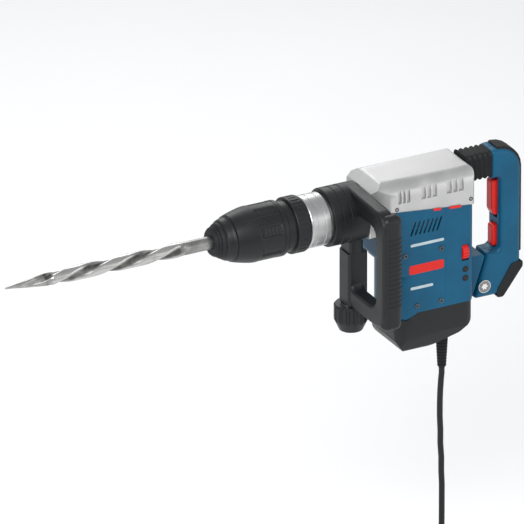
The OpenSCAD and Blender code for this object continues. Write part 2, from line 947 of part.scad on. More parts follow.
module knurled_nut() {
    flutes = 14;
    r = nut_d / 2;
    color("dimgray")
        in_tool_frame()
            translate([bolt_x, 0, 0])
                difference() {
                    z_turned([[0, nut_bottom], [r - 7, nut_bottom], [r - 1, nut_bottom + 13],
                              [r, nut_bottom + 15], [r, nut_top - 2], [r - 2, nut_top], [0, nut_top]]);
                    z_rod(bolt_r + 0.1, [nut_top - 29, nut_top + cut]);
                    for (i = [0:flutes - 1])
                        rotate([0, 0, i * 360 / flutes])
                            translate([r + 1.2, 0, 0])
                                z_rod(3, [nut_bottom - cut, nut_top + cut], $fn = 24);
                }
}

// ---- Cord ----

function tangent(p, i) =
    unit(p[min(i + 1, len(p) - 1)] - p[max(i - 1, 0)]);
function ring(centre, along, side, r, sides) =
    let (u = unit(cross(along, side)), v = cross(along, u))
    [for (k = [0:sides - 1]) centre + r * (cos(k * 360 / sides) * u + sin(k * 360 / sides) * v)];
module tube(route, r, side, sides = 10) {
    last = len(route) - 1;
    points = [for (i = [0:last]) each ring(route[i], tangent(route, i), side, r, sides)];
    walls = [for (i = [0:last - 1], k = [0:sides - 1])
        [i * sides + k, i * sides + (k + 1) % sides, (i + 1) * sides + (k + 1) % sides,
         (i + 1) * sides + k]];
    polyhedron(points, concat(walls, [[for (k = [sides - 1:-1:0]) k]],
                              [[for (k = [0:sides - 1]) last * sides + k]]), convexity = 6);
}
module strain_relief() {
    color("dimgray")
        translate([relief_x, 0, grip_drop])
            z_turned([[0, -176], [10, -176], [10, -180], [8, -180], [8, -198], [8.8, -200],
                      [8, -208], [8.3, -210], [7.5, -218], [7.8, -220], [7, -228], [7.3, -230],
                      [6.5, -238], [6.8, -240], [6, -248], [6.2, -250], [5, relief_z - grip_drop],
                      [0, relief_z - grip_drop]]);
}
module cord() {
    color("dimgray")
        tube(cord_route, cord_r, [1, 0, 0]);
}
module cord_tail() {
    color("dimgray")
        tube(tail_route, cord_r, [0, 1, 0]);
}
module cord_coil() {
    half = coil_across * cord_d / 2;
    top = floor_z + coil_layers * cord_d;
    color("dimgray")
        translate([coil_at.x, coil_at.y, 0])
            z_turned(outline([[coil_mid_r - half, floor_z, 4], [coil_mid_r + half, floor_z, 4],
                              [coil_mid_r + half, top, 4], [coil_mid_r - half, top, 4]]));
}
module plug_body() {
    r = plug_d / 2;
    color("dimgray")
        translate(plug_at)
            x_turned([[0, 0], [0, 5], [26, 7.5], [29, 11], [36, r - 3], [42, r], [62, r], [66, r - 2],
                      [66, 0]]);
}
module plug_pins() {
    color("silver")
        translate(plug_at)
            for (side = [-1, 1])
                translate([0, side * pin_gap / 2, 0])
                    x_turned([[66, 0], [66, pin_r], [65 + pin_len, pin_r], [66 + pin_len, pin_r - 1],
                              [66 + pin_len, 0]]);
}

chisel();
dust_cap();
locking_sleeve();
sleeve_spring();
lock_ring();
tool_holder();
segment_top();
segment_bottom();
neck();
anvil();
striker();
piston();
wrist_pin();
connecting_rod();
hammer_tube();
gear_housing();
crank_gear();
crank_shaft();
crank_bearings();
housing_screws();
motor_housing();
rear_cover();
base_cap();
stator_core();
field_coils();
armature_shaft();
armature_core();
armature_windings();
commutator();
fan();
motor_bearings();
brush_holders();
carbon_brushes();
control_module();
speed_dial();
lamps();
handle_left();
handle_right();
handle_soft_grip();
trigger();
lock_button();
switch_body();
bellows();
damper_spring();
damper_rod();
pivot_pin();
bumper();
clamp_band();
handle_loop();
grip_sleeve();
clamp_bolt();
clamp_washer();
knurled_nut();
strain_relief();
cord();
cord_coil();
cord_tail();
plug_body();
plug_pins();
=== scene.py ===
import math

import bmesh
import bpy
from bpy.props import FloatProperty, FloatVectorProperty, IntProperty, PointerProperty
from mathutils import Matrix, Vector


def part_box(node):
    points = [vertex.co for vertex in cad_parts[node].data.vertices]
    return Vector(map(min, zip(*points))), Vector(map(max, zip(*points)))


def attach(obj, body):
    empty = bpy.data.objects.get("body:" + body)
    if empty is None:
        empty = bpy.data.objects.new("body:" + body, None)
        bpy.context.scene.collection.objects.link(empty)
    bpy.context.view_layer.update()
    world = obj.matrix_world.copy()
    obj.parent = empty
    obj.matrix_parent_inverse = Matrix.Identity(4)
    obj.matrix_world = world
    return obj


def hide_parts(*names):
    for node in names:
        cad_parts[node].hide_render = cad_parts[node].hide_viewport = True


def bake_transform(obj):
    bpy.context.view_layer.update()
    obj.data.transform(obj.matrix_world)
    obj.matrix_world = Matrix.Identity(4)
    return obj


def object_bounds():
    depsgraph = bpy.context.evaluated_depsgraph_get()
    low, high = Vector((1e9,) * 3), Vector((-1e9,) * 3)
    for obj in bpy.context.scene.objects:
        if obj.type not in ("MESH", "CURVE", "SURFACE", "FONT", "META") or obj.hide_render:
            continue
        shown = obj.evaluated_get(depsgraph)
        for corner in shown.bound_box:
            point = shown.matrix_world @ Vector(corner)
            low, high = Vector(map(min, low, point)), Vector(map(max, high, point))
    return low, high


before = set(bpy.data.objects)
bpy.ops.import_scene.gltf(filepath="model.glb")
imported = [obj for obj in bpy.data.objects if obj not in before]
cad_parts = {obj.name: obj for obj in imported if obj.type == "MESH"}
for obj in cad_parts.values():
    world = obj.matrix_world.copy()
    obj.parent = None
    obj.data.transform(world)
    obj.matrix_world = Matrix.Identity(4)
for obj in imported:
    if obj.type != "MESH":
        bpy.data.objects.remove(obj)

bl_info = {
    "name": "Electric Jackhammer",
    "version": (1, 0, 0),
    "blender": (4, 5, 0),
    "location": "View3D > Sidebar > Jackhammer",
    "description": "Builds the looks of an electric jackhammer on its packed CAD frame",
    "category": "Object",
}

CAD_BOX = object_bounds()
MM = 0.001
AXIS_Z = (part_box("chisel")[0].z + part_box("chisel")[1].z) / 2
CLAMP_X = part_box("neck")[0].x + 30 * MM
SIDES = (-1, 1)
NEAR = -1
# Places and sizes that several pieces share, in millimetres from the clamp's face on the tool axis
HOUSING_HALF = 45       # half the width of the blue housing
DAMPER_Z = 33           # height of the damper's axis
PIVOT_X, PIVOT_Z = 238, -144
CLAMP_BORE = 33.05
CLAMP_OUT = 40
VIEW_CENTRE = (-78.7, 14.2, -52.4)


def at(x, y, z):
    """A point given in millimetres from the clamp's face on the tool axis, as a point of the frame."""
    return Vector((CLAMP_X + x * MM, y * MM, AXIS_Z + z * MM))


# ---- What a user would change ----

class HousingSettings(bpy.types.PropertyGroup):
    """Sizes and colours of the housings."""
    edge: FloatProperty(
        name="Edge Rounding", description="Radius of the moulded edges",
        default=0.0014, min=0.0005, max=0.002, unit="LENGTH")
    blue: FloatVectorProperty(
        name="Blue", description="Colour of the moulded motor housing and rear handle",
        default=(0.003, 0.078, 0.155), min=0, max=1, subtype="COLOR")
    silver: FloatVectorProperty(
        name="Silver", description="Colour of the cast gear housing and neck",
        default=(0.50, 0.50, 0.495), min=0, max=1, subtype="COLOR")
    red: FloatVectorProperty(
        name="Red", description="Colour of the trigger, buttons and marks",
        default=(0.62, 0.012, 0.008), min=0, max=1, subtype="COLOR")
    black: FloatVectorProperty(
        name="Black", description="Colour of the black mouldings",
        default=(0.0075, 0.0085, 0.0095), min=0, max=1, subtype="COLOR")


class HandleSettings(bpy.types.PropertyGroup):
    """Sizes of the two handles."""
    rear_round: FloatProperty(
        name="Rear Handle Rounding", description="Edge radius of the rear handle's mouldings",
        default=0.006, min=0.002, max=0.008, unit="LENGTH")
    side_round: FloatProperty(
        name="Side Handle Rounding", description="Edge radius of the side handle's loop",
        default=0.005, min=0.002, max=0.007, unit="LENGTH")


class CordSettings(bpy.types.PropertyGroup):
    """The mains cord."""
    diameter: FloatProperty(
        name="Diameter", description="Outer diameter of the cord's sheath",
        default=0.008, min=0.006, max=0.010, unit="LENGTH")
    length: FloatProperty(
        name="Length", description="Length of the cord from the strain relief to the plug",
        default=4.15, min=3.0, max=5.0, unit="LENGTH")
    turns_per_layer: IntProperty(
        name="Turns Per Layer", description="Turns of the coil that lie side by side",
        default=3, min=2, max=4)
    layers: IntProperty(
        name="Layers", description="Layers of turns in the coil", default=4, min=2, max=5)


class StageSettings(bpy.types.PropertyGroup):
    """The camera and the lights."""
    azimuth: FloatProperty(
        name="Azimuth", description="Direction that the camera looks from, round the object",
        default=math.radians(-28), subtype="ANGLE")
    elevation: FloatProperty(
        name="Elevation", description="Height of the camera above the horizon",
        default=math.radians(25), subtype="ANGLE")
    distance: FloatProperty(
        name="Distance", description="Distance from the camera to the point that it looks at",
        default=25.0, min=2.0, max=40.0, unit="LENGTH")
    lens: FloatProperty(
        name="Lens", description="Focal length of the camera, in millimetres", default=1303, min=50, max=2500)


SETTINGS = {
    "jackhammer_housing": HousingSettings,
    "jackhammer_handles": HandleSettings,
    "jackhammer_cord": CordSettings,
    "jackhammer_stage": StageSettings,
}


def settings(name):
    return getattr(bpy.context.scene, "jackhammer_" + name)


# ---- Shader node groups that the materials share ----

def new_group(name, inputs, outputs):
    tree = bpy.data.node_groups.new(name, "ShaderNodeTree")
    for label, kind, value in inputs:
        socket = tree.interface.new_socket(name=label, in_out="INPUT", socket_type=kind)
        socket.default_value = value
    for label, kind in outputs:
        tree.interface.new_socket(name=label, in_out="OUTPUT", socket_type=kind)
    start = tree.nodes.new("NodeGroupInput")
    end = tree.nodes.new("NodeGroupOutput")
    return tree, start, end


def add(tree, kind, links=(), **values):
    """A node with its properties set, its inputs set by name, and its links made."""
    node = tree.nodes.new(kind)
    for key, value in values.items():
        if hasattr(node, key):
            setattr(node, key, value)
        else:
            node.inputs[key].default_value = value
    for key, source in dict(links).items():
        tree.links.new(source, node.inputs[key])
    return node


def noise(tree, coords, scale, detail=3.0, rough=0.55):
    node = add(tree, "ShaderNodeTexNoise", {"Vector": coords}, Detail=detail, Roughness=rough)
    if isinstance(scale, (int, float)):
        node.inputs["Scale"].default_value = scale
    else:
        tree.links.new(scale, node.inputs["Scale"])
    return node.outputs["Fac"]


def maths(tree, operation, a, b=0.5, clamp=False):
    node = add(tree, "ShaderNodeMath", operation=operation, use_clamp=clamp)
    for slot, value in enumerate((a, b)):
        if isinstance(value, (int, float)):
            node.inputs[slot].default_value = value
        else:
            tree.links.new(value, node.inputs[slot])
    return node.outputs[0]


def span(tree, value, low, high, to_low=0.0, to_high=1.0):
    node = add(tree, "ShaderNodeMapRange", {"Value": value})
    for name, number in (("From Min", low), ("From Max", high), ("To Min", to_low), ("To Max", to_high)):
        node.inputs[name].default_value = number
    return node.outputs["Result"]


def blended(tree, factor, a, b):
    node = tree.nodes.new("ShaderNodeMix")
    node.data_type = "RGBA"
    for slot, value in ((0, factor), (6, a), (7, b)):
        if isinstance(value, (int, float)):
            node.inputs[slot].default_value = value
        elif isinstance(value, (tuple, list)):
            node.inputs[slot].default_value = (*value[:3], 1)
        else:
            tree.links.new(value, node.inputs[slot])
    return node.outputs[2]


def moulded_grain():
    """The fine spark-eroded texture of moulded plastic, with a slow change of tone."""
    if "Moulded grain" in bpy.data.node_groups:
        return bpy.data.node_groups["Moulded grain"]
    tree, start, end = new_group(
        "Moulded grain",
        [("Grain Scale", "NodeSocketFloat", 1800.0), ("Tone Scale", "NodeSocketFloat", 22.0)],
        [("Height", "NodeSocketFloat"), ("Tone", "NodeSocketFloat")])
    coords = add(tree, "ShaderNodeTexCoord").outputs["Object"]
    fine = noise(tree, coords, start.outputs["Grain Scale"], 2.0, 0.6)
    pits = add(tree, "ShaderNodeTexVoronoi", {"Vector": coords, "Scale": start.outputs["Grain Scale"]})
    height = maths(tree, "ADD", maths(tree, "MULTIPLY", fine, 0.7),
                   maths(tree, "MULTIPLY", pits.outputs["Distance"], 0.3))
    tree.links.new(height, end.inputs["Height"])
    slow = noise(tree, coords, start.outputs["Tone Scale"], 4.0, 0.6)
    tree.links.new(span(tree, slow, 0.3, 0.7), end.inputs["Tone"])
    return tree


def handling_wear():
    """Scuffs and fine scratches from handling, as a mask."""
    if "Handling wear" in bpy.data.node_groups:
        return bpy.data.node_groups["Handling wear"]
    tree, start, end = new_group(
        "Handling wear", [("Amount", "NodeSocketFloat", 0.4), ("Scale", "NodeSocketFloat", 60.0)],
        [("Mask", "NodeSocketFloat"), ("Dust", "NodeSocketFloat")])
    coords = add(tree, "ShaderNodeTexCoord").outputs["Object"]
    stretch = add(tree, "ShaderNodeMapping", {"Vector": coords})
    stretch.inputs["Rotation"].default_value = (0.3, 0.5, 0.2)
    stretch.inputs["Scale"].default_value = (1.0, 6.0, 9.0)
    fine_scale = maths(tree, "MULTIPLY", start.outputs["Scale"], 4.0)
    streaks = noise(tree, stretch.outputs["Vector"], fine_scale, 5.0, 0.7)
    lines = span(tree, streaks, 0.62, 0.72)
    areas = span(tree, noise(tree, coords, start.outputs["Scale"], 3.0, 0.6), 0.45, 0.7)
    scuffs = maths(tree, "MULTIPLY", maths(tree, "MULTIPLY", lines, areas), start.outputs["Amount"], True)
    tree.links.new(scuffs, end.inputs["Mask"])
    geometry = add(tree, "ShaderNodeNewGeometry")
    facing = add(tree, "ShaderNodeSeparateXYZ", {"Vector": geometry.outputs["Normal"]})
    upward = span(tree, facing.outputs["Z"], 0.2, 1.0)
    speckle = noise(tree, coords, maths(tree, "MULTIPLY", start.outputs["Scale"], 12.0), 4.0, 0.7)
    dust = maths(tree, "MULTIPLY", upward, span(tree, speckle, 0.45, 0.75), True)
    tree.links.new(dust, end.inputs["Dust"])
    return tree


def cast_skin():
    """The uneven skin of a die casting: shallow dimples and flow marks."""
    if "Cast skin" in bpy.data.node_groups:
        return bpy.data.node_groups["Cast skin"]
    tree, start, end = new_group(
        "Cast skin", [("Scale", "NodeSocketFloat", 500.0)],
        [("Height", "NodeSocketFloat"), ("Tone", "NodeSocketFloat")])
    coords = add(tree, "ShaderNodeTexCoord").outputs["Object"]
    dimples = add(tree, "ShaderNodeTexVoronoi", {"Vector": coords, "Scale": start.outputs["Scale"]})
    fine = noise(tree, coords, maths(tree, "MULTIPLY", start.outputs["Scale"], 2.5), 4.0, 0.65)
    height = maths(tree, "ADD", maths(tree, "MULTIPLY", dimples.outputs["Distance"], 0.5), fine)
    tree.links.new(height, end.inputs["Height"])
    flow = noise(tree, coords, maths(tree, "MULTIPLY", start.outputs["Scale"], 0.06), 5.0, 0.6)
    tree.links.new(span(tree, flow, 0.3, 0.7), end.inputs["Tone"])
    return tree


def turning_marks():
    """Fine rings left by turning or grinding about the tool axis."""
    if "Turning marks" in bpy.data.node_groups:
        return bpy.data.node_groups["Turning marks"]
    tree, start, end = new_group(
        "Turning marks", [("Scale", "NodeSocketFloat", 900.0)],
        [("Height", "NodeSocketFloat"), ("Tone", "NodeSocketFloat")])
    coords = add(tree, "ShaderNodeTexCoord").outputs["Object"]
    stretch = add(tree, "ShaderNodeMapping", {"Vector": coords})
    stretch.inputs["Scale"].default_value = (1.0, 0.06, 0.06)
    rings = noise(tree, stretch.outputs["Vector"], start.outputs["Scale"], 4.0, 0.7)
    tree.links.new(rings, end.inputs["Height"])
    stains = noise(tree, coords, maths(tree, "MULTIPLY", start.outputs["Scale"], 0.05), 5.0, 0.65)
    tree.links.new(span(tree, stains, 0.35, 0.7), end.inputs["Tone"])
    return tree


# ---- Materials ----

def new_material(name, **values):
    material = bpy.data.materials.new(name)
    material.use_nodes = True
    shader = material.node_tree.nodes["Principled BSDF"]
    for key, value in values.items():
        shader.inputs[key.replace("_", " ")].default_value = value
    return material, material.node_tree, shader


def shade(colour, factor):
    return tuple(min(1.0, c * factor) for c in colour[:3])


def placed(tree, group, **values):
    node = tree.nodes.new("ShaderNodeGroup")
    node.node_tree = group
    for key, value in values.items():
        node.inputs[key.replace("_", " ")].default_value = value
    return node


def bumped(tree, shader, height, distance, strength=1.0):
    bump = add(tree, "ShaderNodeBump", {"Height": height}, Distance=distance, Strength=strength)
    tree.links.new(bump.outputs["Normal"], shader.inputs["Normal"])


def moulded(name, colour, rough=0.45, grain=1800.0, depth=0.00004, wear=0.35, spread=0.12, sheen=0.3):
    """Moulded plastic or rubber: grain, a slow change of tone, light scuffs and a little dust on top."""
    if name in bpy.data.materials:
        return bpy.data.materials[name]
    material, tree, shader = new_material(name, Specular_IOR_Level=sheen)
    skin = placed(tree, moulded_grain(), Grain_Scale=grain)
    use = placed(tree, handling_wear(), Amount=wear)
    toned = blended(tree, skin.outputs["Tone"], shade(colour, 0.86), shade(colour, 1.12))
    pale = tuple(0.5 * c + 0.06 for c in colour[:3])
    scuffed = blended(tree, use.outputs["Mask"], toned, pale)
    dusted = blended(tree, maths(tree, "MULTIPLY", use.outputs["Dust"], 0.10), scuffed, (0.25, 0.245, 0.235))
    tree.links.new(dusted, shader.inputs["Base Color"])
    gloss = span(tree, skin.outputs["Tone"], 0.0, 1.0, rough - spread / 2, rough + spread / 2)
    tree.links.new(maths(tree, "ADD", gloss, maths(tree, "MULTIPLY", use.outputs["Mask"], 0.2), True),
                   shader.inputs["Roughness"])
    bumped(tree, shader, skin.outputs["Height"], depth)
    return material


def cast(name, colour, rough=0.42, depth=0.00005, metallic=0.75):
    """Satin die-cast metal."""
    if name in bpy.data.materials:
        return bpy.data.materials[name]
    material, tree, shader = new_material(name, Metallic=metallic)
    skin = placed(tree, cast_skin(), Scale=520.0)
    use = placed(tree, handling_wear(), Amount=0.3)
    toned = blended(tree, skin.outputs["Tone"], shade(colour, 0.9), shade(colour, 1.06))
    scuffed = blended(tree, use.outputs["Mask"], toned, shade(colour, 0.55))
    tree.links.new(scuffed, shader.inputs["Base Color"])
    tree.links.new(span(tree, skin.outputs["Tone"], 0.0, 1.0, rough - 0.06, rough + 0.1),
                   shader.inputs["Roughness"])
    bumped(tree, shader, skin.outputs["Height"], depth)
    return material


def turned(name, colour, rough=0.3, depth=0.00003, stain=0.75):
    """Turned or ground metal, with rings about the tool axis."""
    if name in bpy.data.materials:
        return bpy.data.materials[name]
    material, tree, shader = new_material(name, Metallic=1.0)
    skin = placed(tree, turning_marks(), Scale=1100.0)
    toned = blended(tree, skin.outputs["Tone"], colour, shade(colour, stain))
    tree.links.new(toned, shader.inputs["Base Color"])
    tree.links.new(span(tree, skin.outputs["Height"], 0.3, 0.7, rough - 0.08, rough + 0.12),
                   shader.inputs["Roughness"])
    bumped(tree, shader, skin.outputs["Height"], depth)
    return material


def blue_moulding():
    return moulded("Blue moulding", settings("housing").blue, rough=0.36, wear=0.2, sheen=0.2)


def black_moulding():
    return moulded("Black moulding", settings("housing").black, rough=0.42, wear=0.35)


def soft_black():
    return moulded("Soft black rubber", shade(settings("housing").black, 0.8), rough=0.62, grain=1300.0,
                   depth=0.00007, wear=0.3)


def red_moulding():
    return moulded("Red moulding", settings("housing").red, rough=0.33, depth=0.00002, wear=0.15)


def silver_casting():
    return cast("Silver casting", settings("housing").silver)


def chisel_steel():
    return turned("Forged chisel steel", (0.52, 0.51, 0.49), rough=0.36, depth=0.00006, stain=0.5)


def bright_steel():
    return turned("Ground steel", (0.66, 0.66, 0.65), rough=0.26)


def dark_steel():
    return turned("Blackened steel", (0.13, 0.13, 0.135), rough=0.4)


def plated_steel():
    return turned("Plated steel", (0.74, 0.74, 0.72), rough=0.18, depth=0.00001, stain=0.9)


def copper_wire():
    return turned("Enamelled copper", (0.55, 0.22, 0.08), rough=0.35, depth=0.0001)


def stamped_brass():
    return turned("Stamped brass", (0.62, 0.44, 0.15), rough=0.33)


def pressed_carbon():
    return moulded("Pressed carbon", (0.012, 0.012, 0.013), rough=0.5, grain=900.0, wear=0.1)


def white_moulding():
    return moulded("White moulding", (0.62, 0.62, 0.6), rough=0.45, wear=0.1)


def green_board():
    return moulded("Potted board", (0.02, 0.13, 0.05), rough=0.3, wear=0.0)


def smoked_lens():
    return moulded("Smoked lens", (0.02, 0.012, 0.012), rough=0.12, depth=0.00001, wear=0.05)


def pale_print():
    return moulded("Pale print", (0.42, 0.50, 0.54), rough=0.4, wear=0.35)


def cord_sheath():
    return moulded("Cord sheath", shade(settings("housing").black, 1.1), rough=0.52, grain=2500.0,
                   depth=0.00003, wear=0.2)


FINISHES = {
    "bright_steel": bright_steel, "silver_casting": silver_casting, "blue_plastic": blue_moulding,
    "black_plastic": black_moulding, "black_rubber": soft_black, "red_plastic": red_moulding,
    "dark_steel": dark_steel, "copper": copper_wire, "brass_parts": stamped_brass,
    "carbon": pressed_carbon, "white_plastic": white_moulding, "green_board": green_board,
    "lamp_lens": smoked_lens, "cord_rubber": cord_sheath, "plated_steel": plated_steel,
}


# ---- Making pieces ----

def finish_piece(piece, material, body, nodes=()):
    piece.data.materials.clear()
    piece.data.materials.append(material)
    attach(piece, body)
    if nodes:
        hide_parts(*nodes)
    return piece


def piece_from(name, bm, smooth_angle=32):
    """A smooth-shaded object from a bmesh, with its flat faces kept flat."""
    bmesh.ops.recalc_face_normals(bm, faces=bm.faces)
    mesh = bpy.data.meshes.new(name)
    bm.to_mesh(mesh)
    bm.free()
    piece = bpy.data.objects.new(name, mesh)
    bpy.context.scene.collection.objects.link(piece)
    smoothed(piece, smooth_angle)
    return piece


def smoothed(piece, smooth_angle):
    piece.data.shade_smooth()
    piece.data.set_sharp_from_angle(angle=math.radians(smooth_angle))
    weighted = piece.modifiers.new("Flat faces", "WEIGHTED_NORMAL")
    weighted.keep_sharp = True


def softened(name, node, width, segments=3, angle=32):
    """A new piece with a CAD node's shape, its sharp edges rounded off."""
    bm = bmesh.new()
    bm.from_mesh(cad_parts[node].data)
    bmesh.ops.remove_doubles(bm, verts=bm.verts, dist=2e-6)
    bmesh.ops.dissolve_limit(bm, angle_limit=math.radians(1.0), verts=bm.verts, edges=bm.edges)
    sharp = [e for e in bm.edges
             if len(e.link_faces) == 2 and e.calc_face_angle(0) > math.radians(angle)]
    bmesh.ops.bevel(bm, geom=sharp, offset=width, segments=segments, profile=0.5, affect="EDGES",
                    clamp_overlap=True)
    return piece_from(name, bm)


def rounded(points, inset=0.0, steps=6, least=0.3):
    """The outline of [across, up, radius] corners, moved inwards by inset, with each corner an arc."""
    corners = [Vector(p[:2]) for p in points]
    count = len(corners)
    area = sum(corners[i].x * corners[(i + 1) % count].y - corners[(i + 1) % count].x * corners[i].y
               for i in range(count))
    hand = 1 if area > 0 else -1
    line = []
    for i, (here, point) in enumerate(zip(corners, points)):
        back = (corners[i - 1] - here).normalized()
        ahead = (corners[(i + 1) % count] - here).normalized()
        half = back.angle(ahead) / 2
        convex = hand * (back.x * ahead.y - back.y * ahead.x) < 0
        inward = (back + ahead).normalized() * (1 if convex else -1)
        moved = here + inward * inset / math.sin(half)
        radius = max(least, point[2] + (-inset if convex else inset))
        if not convex:
            room = min((corners[i - 1] - here).length, (corners[(i + 1) % count] - here).length)
            radius = min(radius, max(point[2], 0.8 * room * math.tan(half)))
        middle = moved + (back + ahead).normalized() * radius / math.sin(half)
        first = moved + back * radius / math.tan(half) - middle
        turn = (moved + ahead * radius / math.tan(half) - middle)
        sweep = first.angle_signed(turn) * -1
        start = math.atan2(first.y, first.x)
        for k in range(steps + 1):
            angle = start + sweep * k / steps
            line.append((middle.x + radius * math.cos(angle), middle.y + radius * math.sin(angle)))
    return line


def side_on(across, up, out):
    return at(across, out, up)


def end_on(across, up, out):
    return at(out, across, up)


def level(across, up, out):
    return at(across, up, out)


def layered(name, outlines, layers, place, holes=()):
    """A slab: each outline is repeated at each (out, inset) layer, and both ends are closed."""
    bm = bmesh.new()
    ends = ([], [])
    for points, sign in [(o, 1) for o in outlines] + [(o, -1) for o in holes]:
        before = None
        for out, inset in layers:
            ring = [bm.verts.new(place(x, y, out)) for x, y in rounded(points, sign * inset)]
            count = len(ring)
            if before:
                for i in range(count):
                    bm.faces.new((before[i], before[(i + 1) % count], ring[(i + 1) % count], ring[i]))
            else:
                ends[0].extend(ring)
            before = ring
        ends[1].extend(before)
    for ring in ends:
        kept = set(ring)
        edges = [e for e in bm.edges if e.is_boundary and e.verts[0] in kept and e.verts[1] in kept]
        if not edges:
            edges = [e for e in bm.edges if len(e.link_faces) == 1 and set(e.verts) <= kept]
        bmesh.ops.triangle_fill(bm, use_beauty=True, use_dissolve=False, edges=edges)
    return piece_from(name, bm)


def round_layers(low, high, low_edge, high_edge, steps=4):
    """Layers for a slab from low to high whose two rims are quarter rounds of these radii."""
    layers = []
    for k in range(steps + 1):
        angle = math.pi / 2 * k / steps
        layers.append((low + low_edge * (1 - math.sin(angle)), low_edge * (1 - math.cos(angle))))
    layers.reverse()
    for k in range(steps + 1):
        angle = math.pi / 2 * k / steps
        layers.append((high - high_edge * (1 - math.sin(angle)), high_edge * (1 - math.cos(angle))))
    return sorted(layers, key=lambda layer: layer[0])


def box_cutter(x, y, z):
    """A box that carved() takes away, given by its ranges in millimetres."""
    bm = bmesh.new()
    bmesh.ops.create_cube(bm, size=1)
    low, high = at(x[0], y[0], z[0]), at(x[1], y[1], z[1])
    for vert in bm.verts:
        vert.co = Vector((low[i] if vert.co[i] < 0 else high[i] for i in range(3)))
    return bm


def rod_cutter(axis, start, radius, length, sides=96):
    """A round bar that carved() takes away."""
    bm = bmesh.new()
    bmesh.ops.create_cone(bm, cap_ends=True, segments=sides, radius1=radius * MM, radius2=radius * MM,
                          depth=length * MM)
    along = Vector((axis == "x", axis == "y", axis == "z"))
    turn = Vector((0, 0, 1)).rotation_difference(along).to_matrix()
    middle = at(*start) + along * length / 2 * MM
    for vert in bm.verts:
        vert.co = middle + turn @ vert.co
    return bm


def carved(piece, *cutters):
    """Takes the cutters' volumes out of a piece."""
    piece.modifiers.clear()
    tools = []
    for bm in cutters:
        mesh = bpy.data.meshes.new("cutter")
        bm.to_mesh(mesh)
        bm.free()
        tool = bpy.data.objects.new("cutter", mesh)
        bpy.context.scene.collection.objects.link(tool)
        tools.append(tool)
        cut = piece.modifiers.new("Cut", "BOOLEAN")
        cut.operation = "DIFFERENCE"
        cut.solver = "EXACT"
        cut.object = tool
    bpy.context.view_layer.update()
    shape = piece.evaluated_get(bpy.context.evaluated_depsgraph_get())
    mesh = bpy.data.meshes.new_from_object(shape)
    piece.modifiers.clear()
    piece.data = mesh
    for tool in tools:
        bpy.data.objects.remove(tool)
    smoothed(piece, 32)
    return piece


# ---- Turned pieces, springs, marks and screws ----

def bridged(bm, rings, sides):
    """Joins each ring to the next with faces; a ring of one vertex is a point on the axis."""
    for a, b in zip(rings, rings[1:]):
        for k in range(sides):
            corners = [a[k % len(a)], a[(k + 1) % len(a)], b[(k + 1) % len(b)], b[k % len(b)]]
            bm.faces.new(list(dict.fromkeys(corners)))

def turned_piece(name, profile, sides=96, radius_at=None, smooth_angle=32):
    """A solid of revolution about the tool axis from [x, radius] points, in millimetres.
    A profile that ends where it starts makes a hollow piece; any other has flat ends.
    radius_at(x, radius, angle) may change the radius round the axis."""
    bm = bmesh.new()
    rings = []
    hollow = profile[0] == profile[-1]
    for x, radius in profile[:-1] if hollow else profile:
        if radius <= 0:
            rings.append([bm.verts.new(at(x, 0, 0))])
            continue
        ring = []
        for k in range(sides):
            angle = 2 * math.pi * k / sides
            r = radius_at(x, radius, angle) if radius_at else radius
            ring.append(bm.verts.new(at(x, r * math.cos(angle), r * math.sin(angle))))
        rings.append(ring)
    bridged(bm, rings + (rings[:1] if hollow else []), sides)
    for ring in (rings[0], rings[-1]):
        if len(ring) > 1 and not hollow:
            bm.faces.new(ring)
    return piece_from(name, bm, smooth_angle)


def coil_spring(name, low, high, radius, wire, turns, z=0):
    """A helical spring about an axis along X, with the wire's ends closed."""
    bm = bmesh.new()
    steps, sides = turns * 32, 12
    climb = (high - low - wire) / (2 * math.pi * turns)
    rings = []
    for k in range(steps + 1):
        angle = 2 * math.pi * turns * k / steps
        outward = Vector((0, math.cos(angle), math.sin(angle)))
        along = Vector((climb, -radius * math.sin(angle), radius * math.cos(angle))).normalized()
        across = along.cross(outward)
        middle = at(low + wire / 2 + climb * angle, 0, z) + outward * radius * MM
        turned_by = [2 * math.pi * i / sides for i in range(sides)]
        rings.append([bm.verts.new(middle + (outward * math.cos(t) + across * math.sin(t)) * wire / 2 * MM)
                      for t in turned_by])
    bridged(bm, rings, sides)
    bm.faces.new(rings[0])
    bm.faces.new(rings[-1])
    return piece_from(name, bm, 60)


def merged(name, meshes, smooth_angle=32):
    """One piece from several bmeshes."""
    bm = bmesh.new()
    for part in meshes:
        spare = bpy.data.meshes.new("spare")
        part.to_mesh(spare)
        part.free()
        bm.from_mesh(spare)
        bpy.data.meshes.remove(spare)
    return piece_from(name, bm, smooth_angle)


def pad(outline_points, layers, place):
    """A bmesh slab, closed at both ends."""
    bm = bmesh.new()
    before = None
    first = None
    for out, inset in layers:
        ring = [bm.verts.new(place(x, y, out)) for x, y in rounded(outline_points, inset)]
        if before:
            count = len(ring)
            for i in range(count):
                bm.faces.new((before[i], before[(i + 1) % count], ring[(i + 1) % count], ring[i]))
        else:
            first = ring
        before = ring
    bm.faces.new(first)
    bm.faces.new(before)
    bmesh.ops.triangulate(bm, faces=[f for f in bm.faces if len(f.verts) > 4])
    return bm


def box_points(x, y, r):
    return [[x[0], y[0], r], [x[1], y[0], r], [x[1], y[1], r], [x[0], y[1], r]]


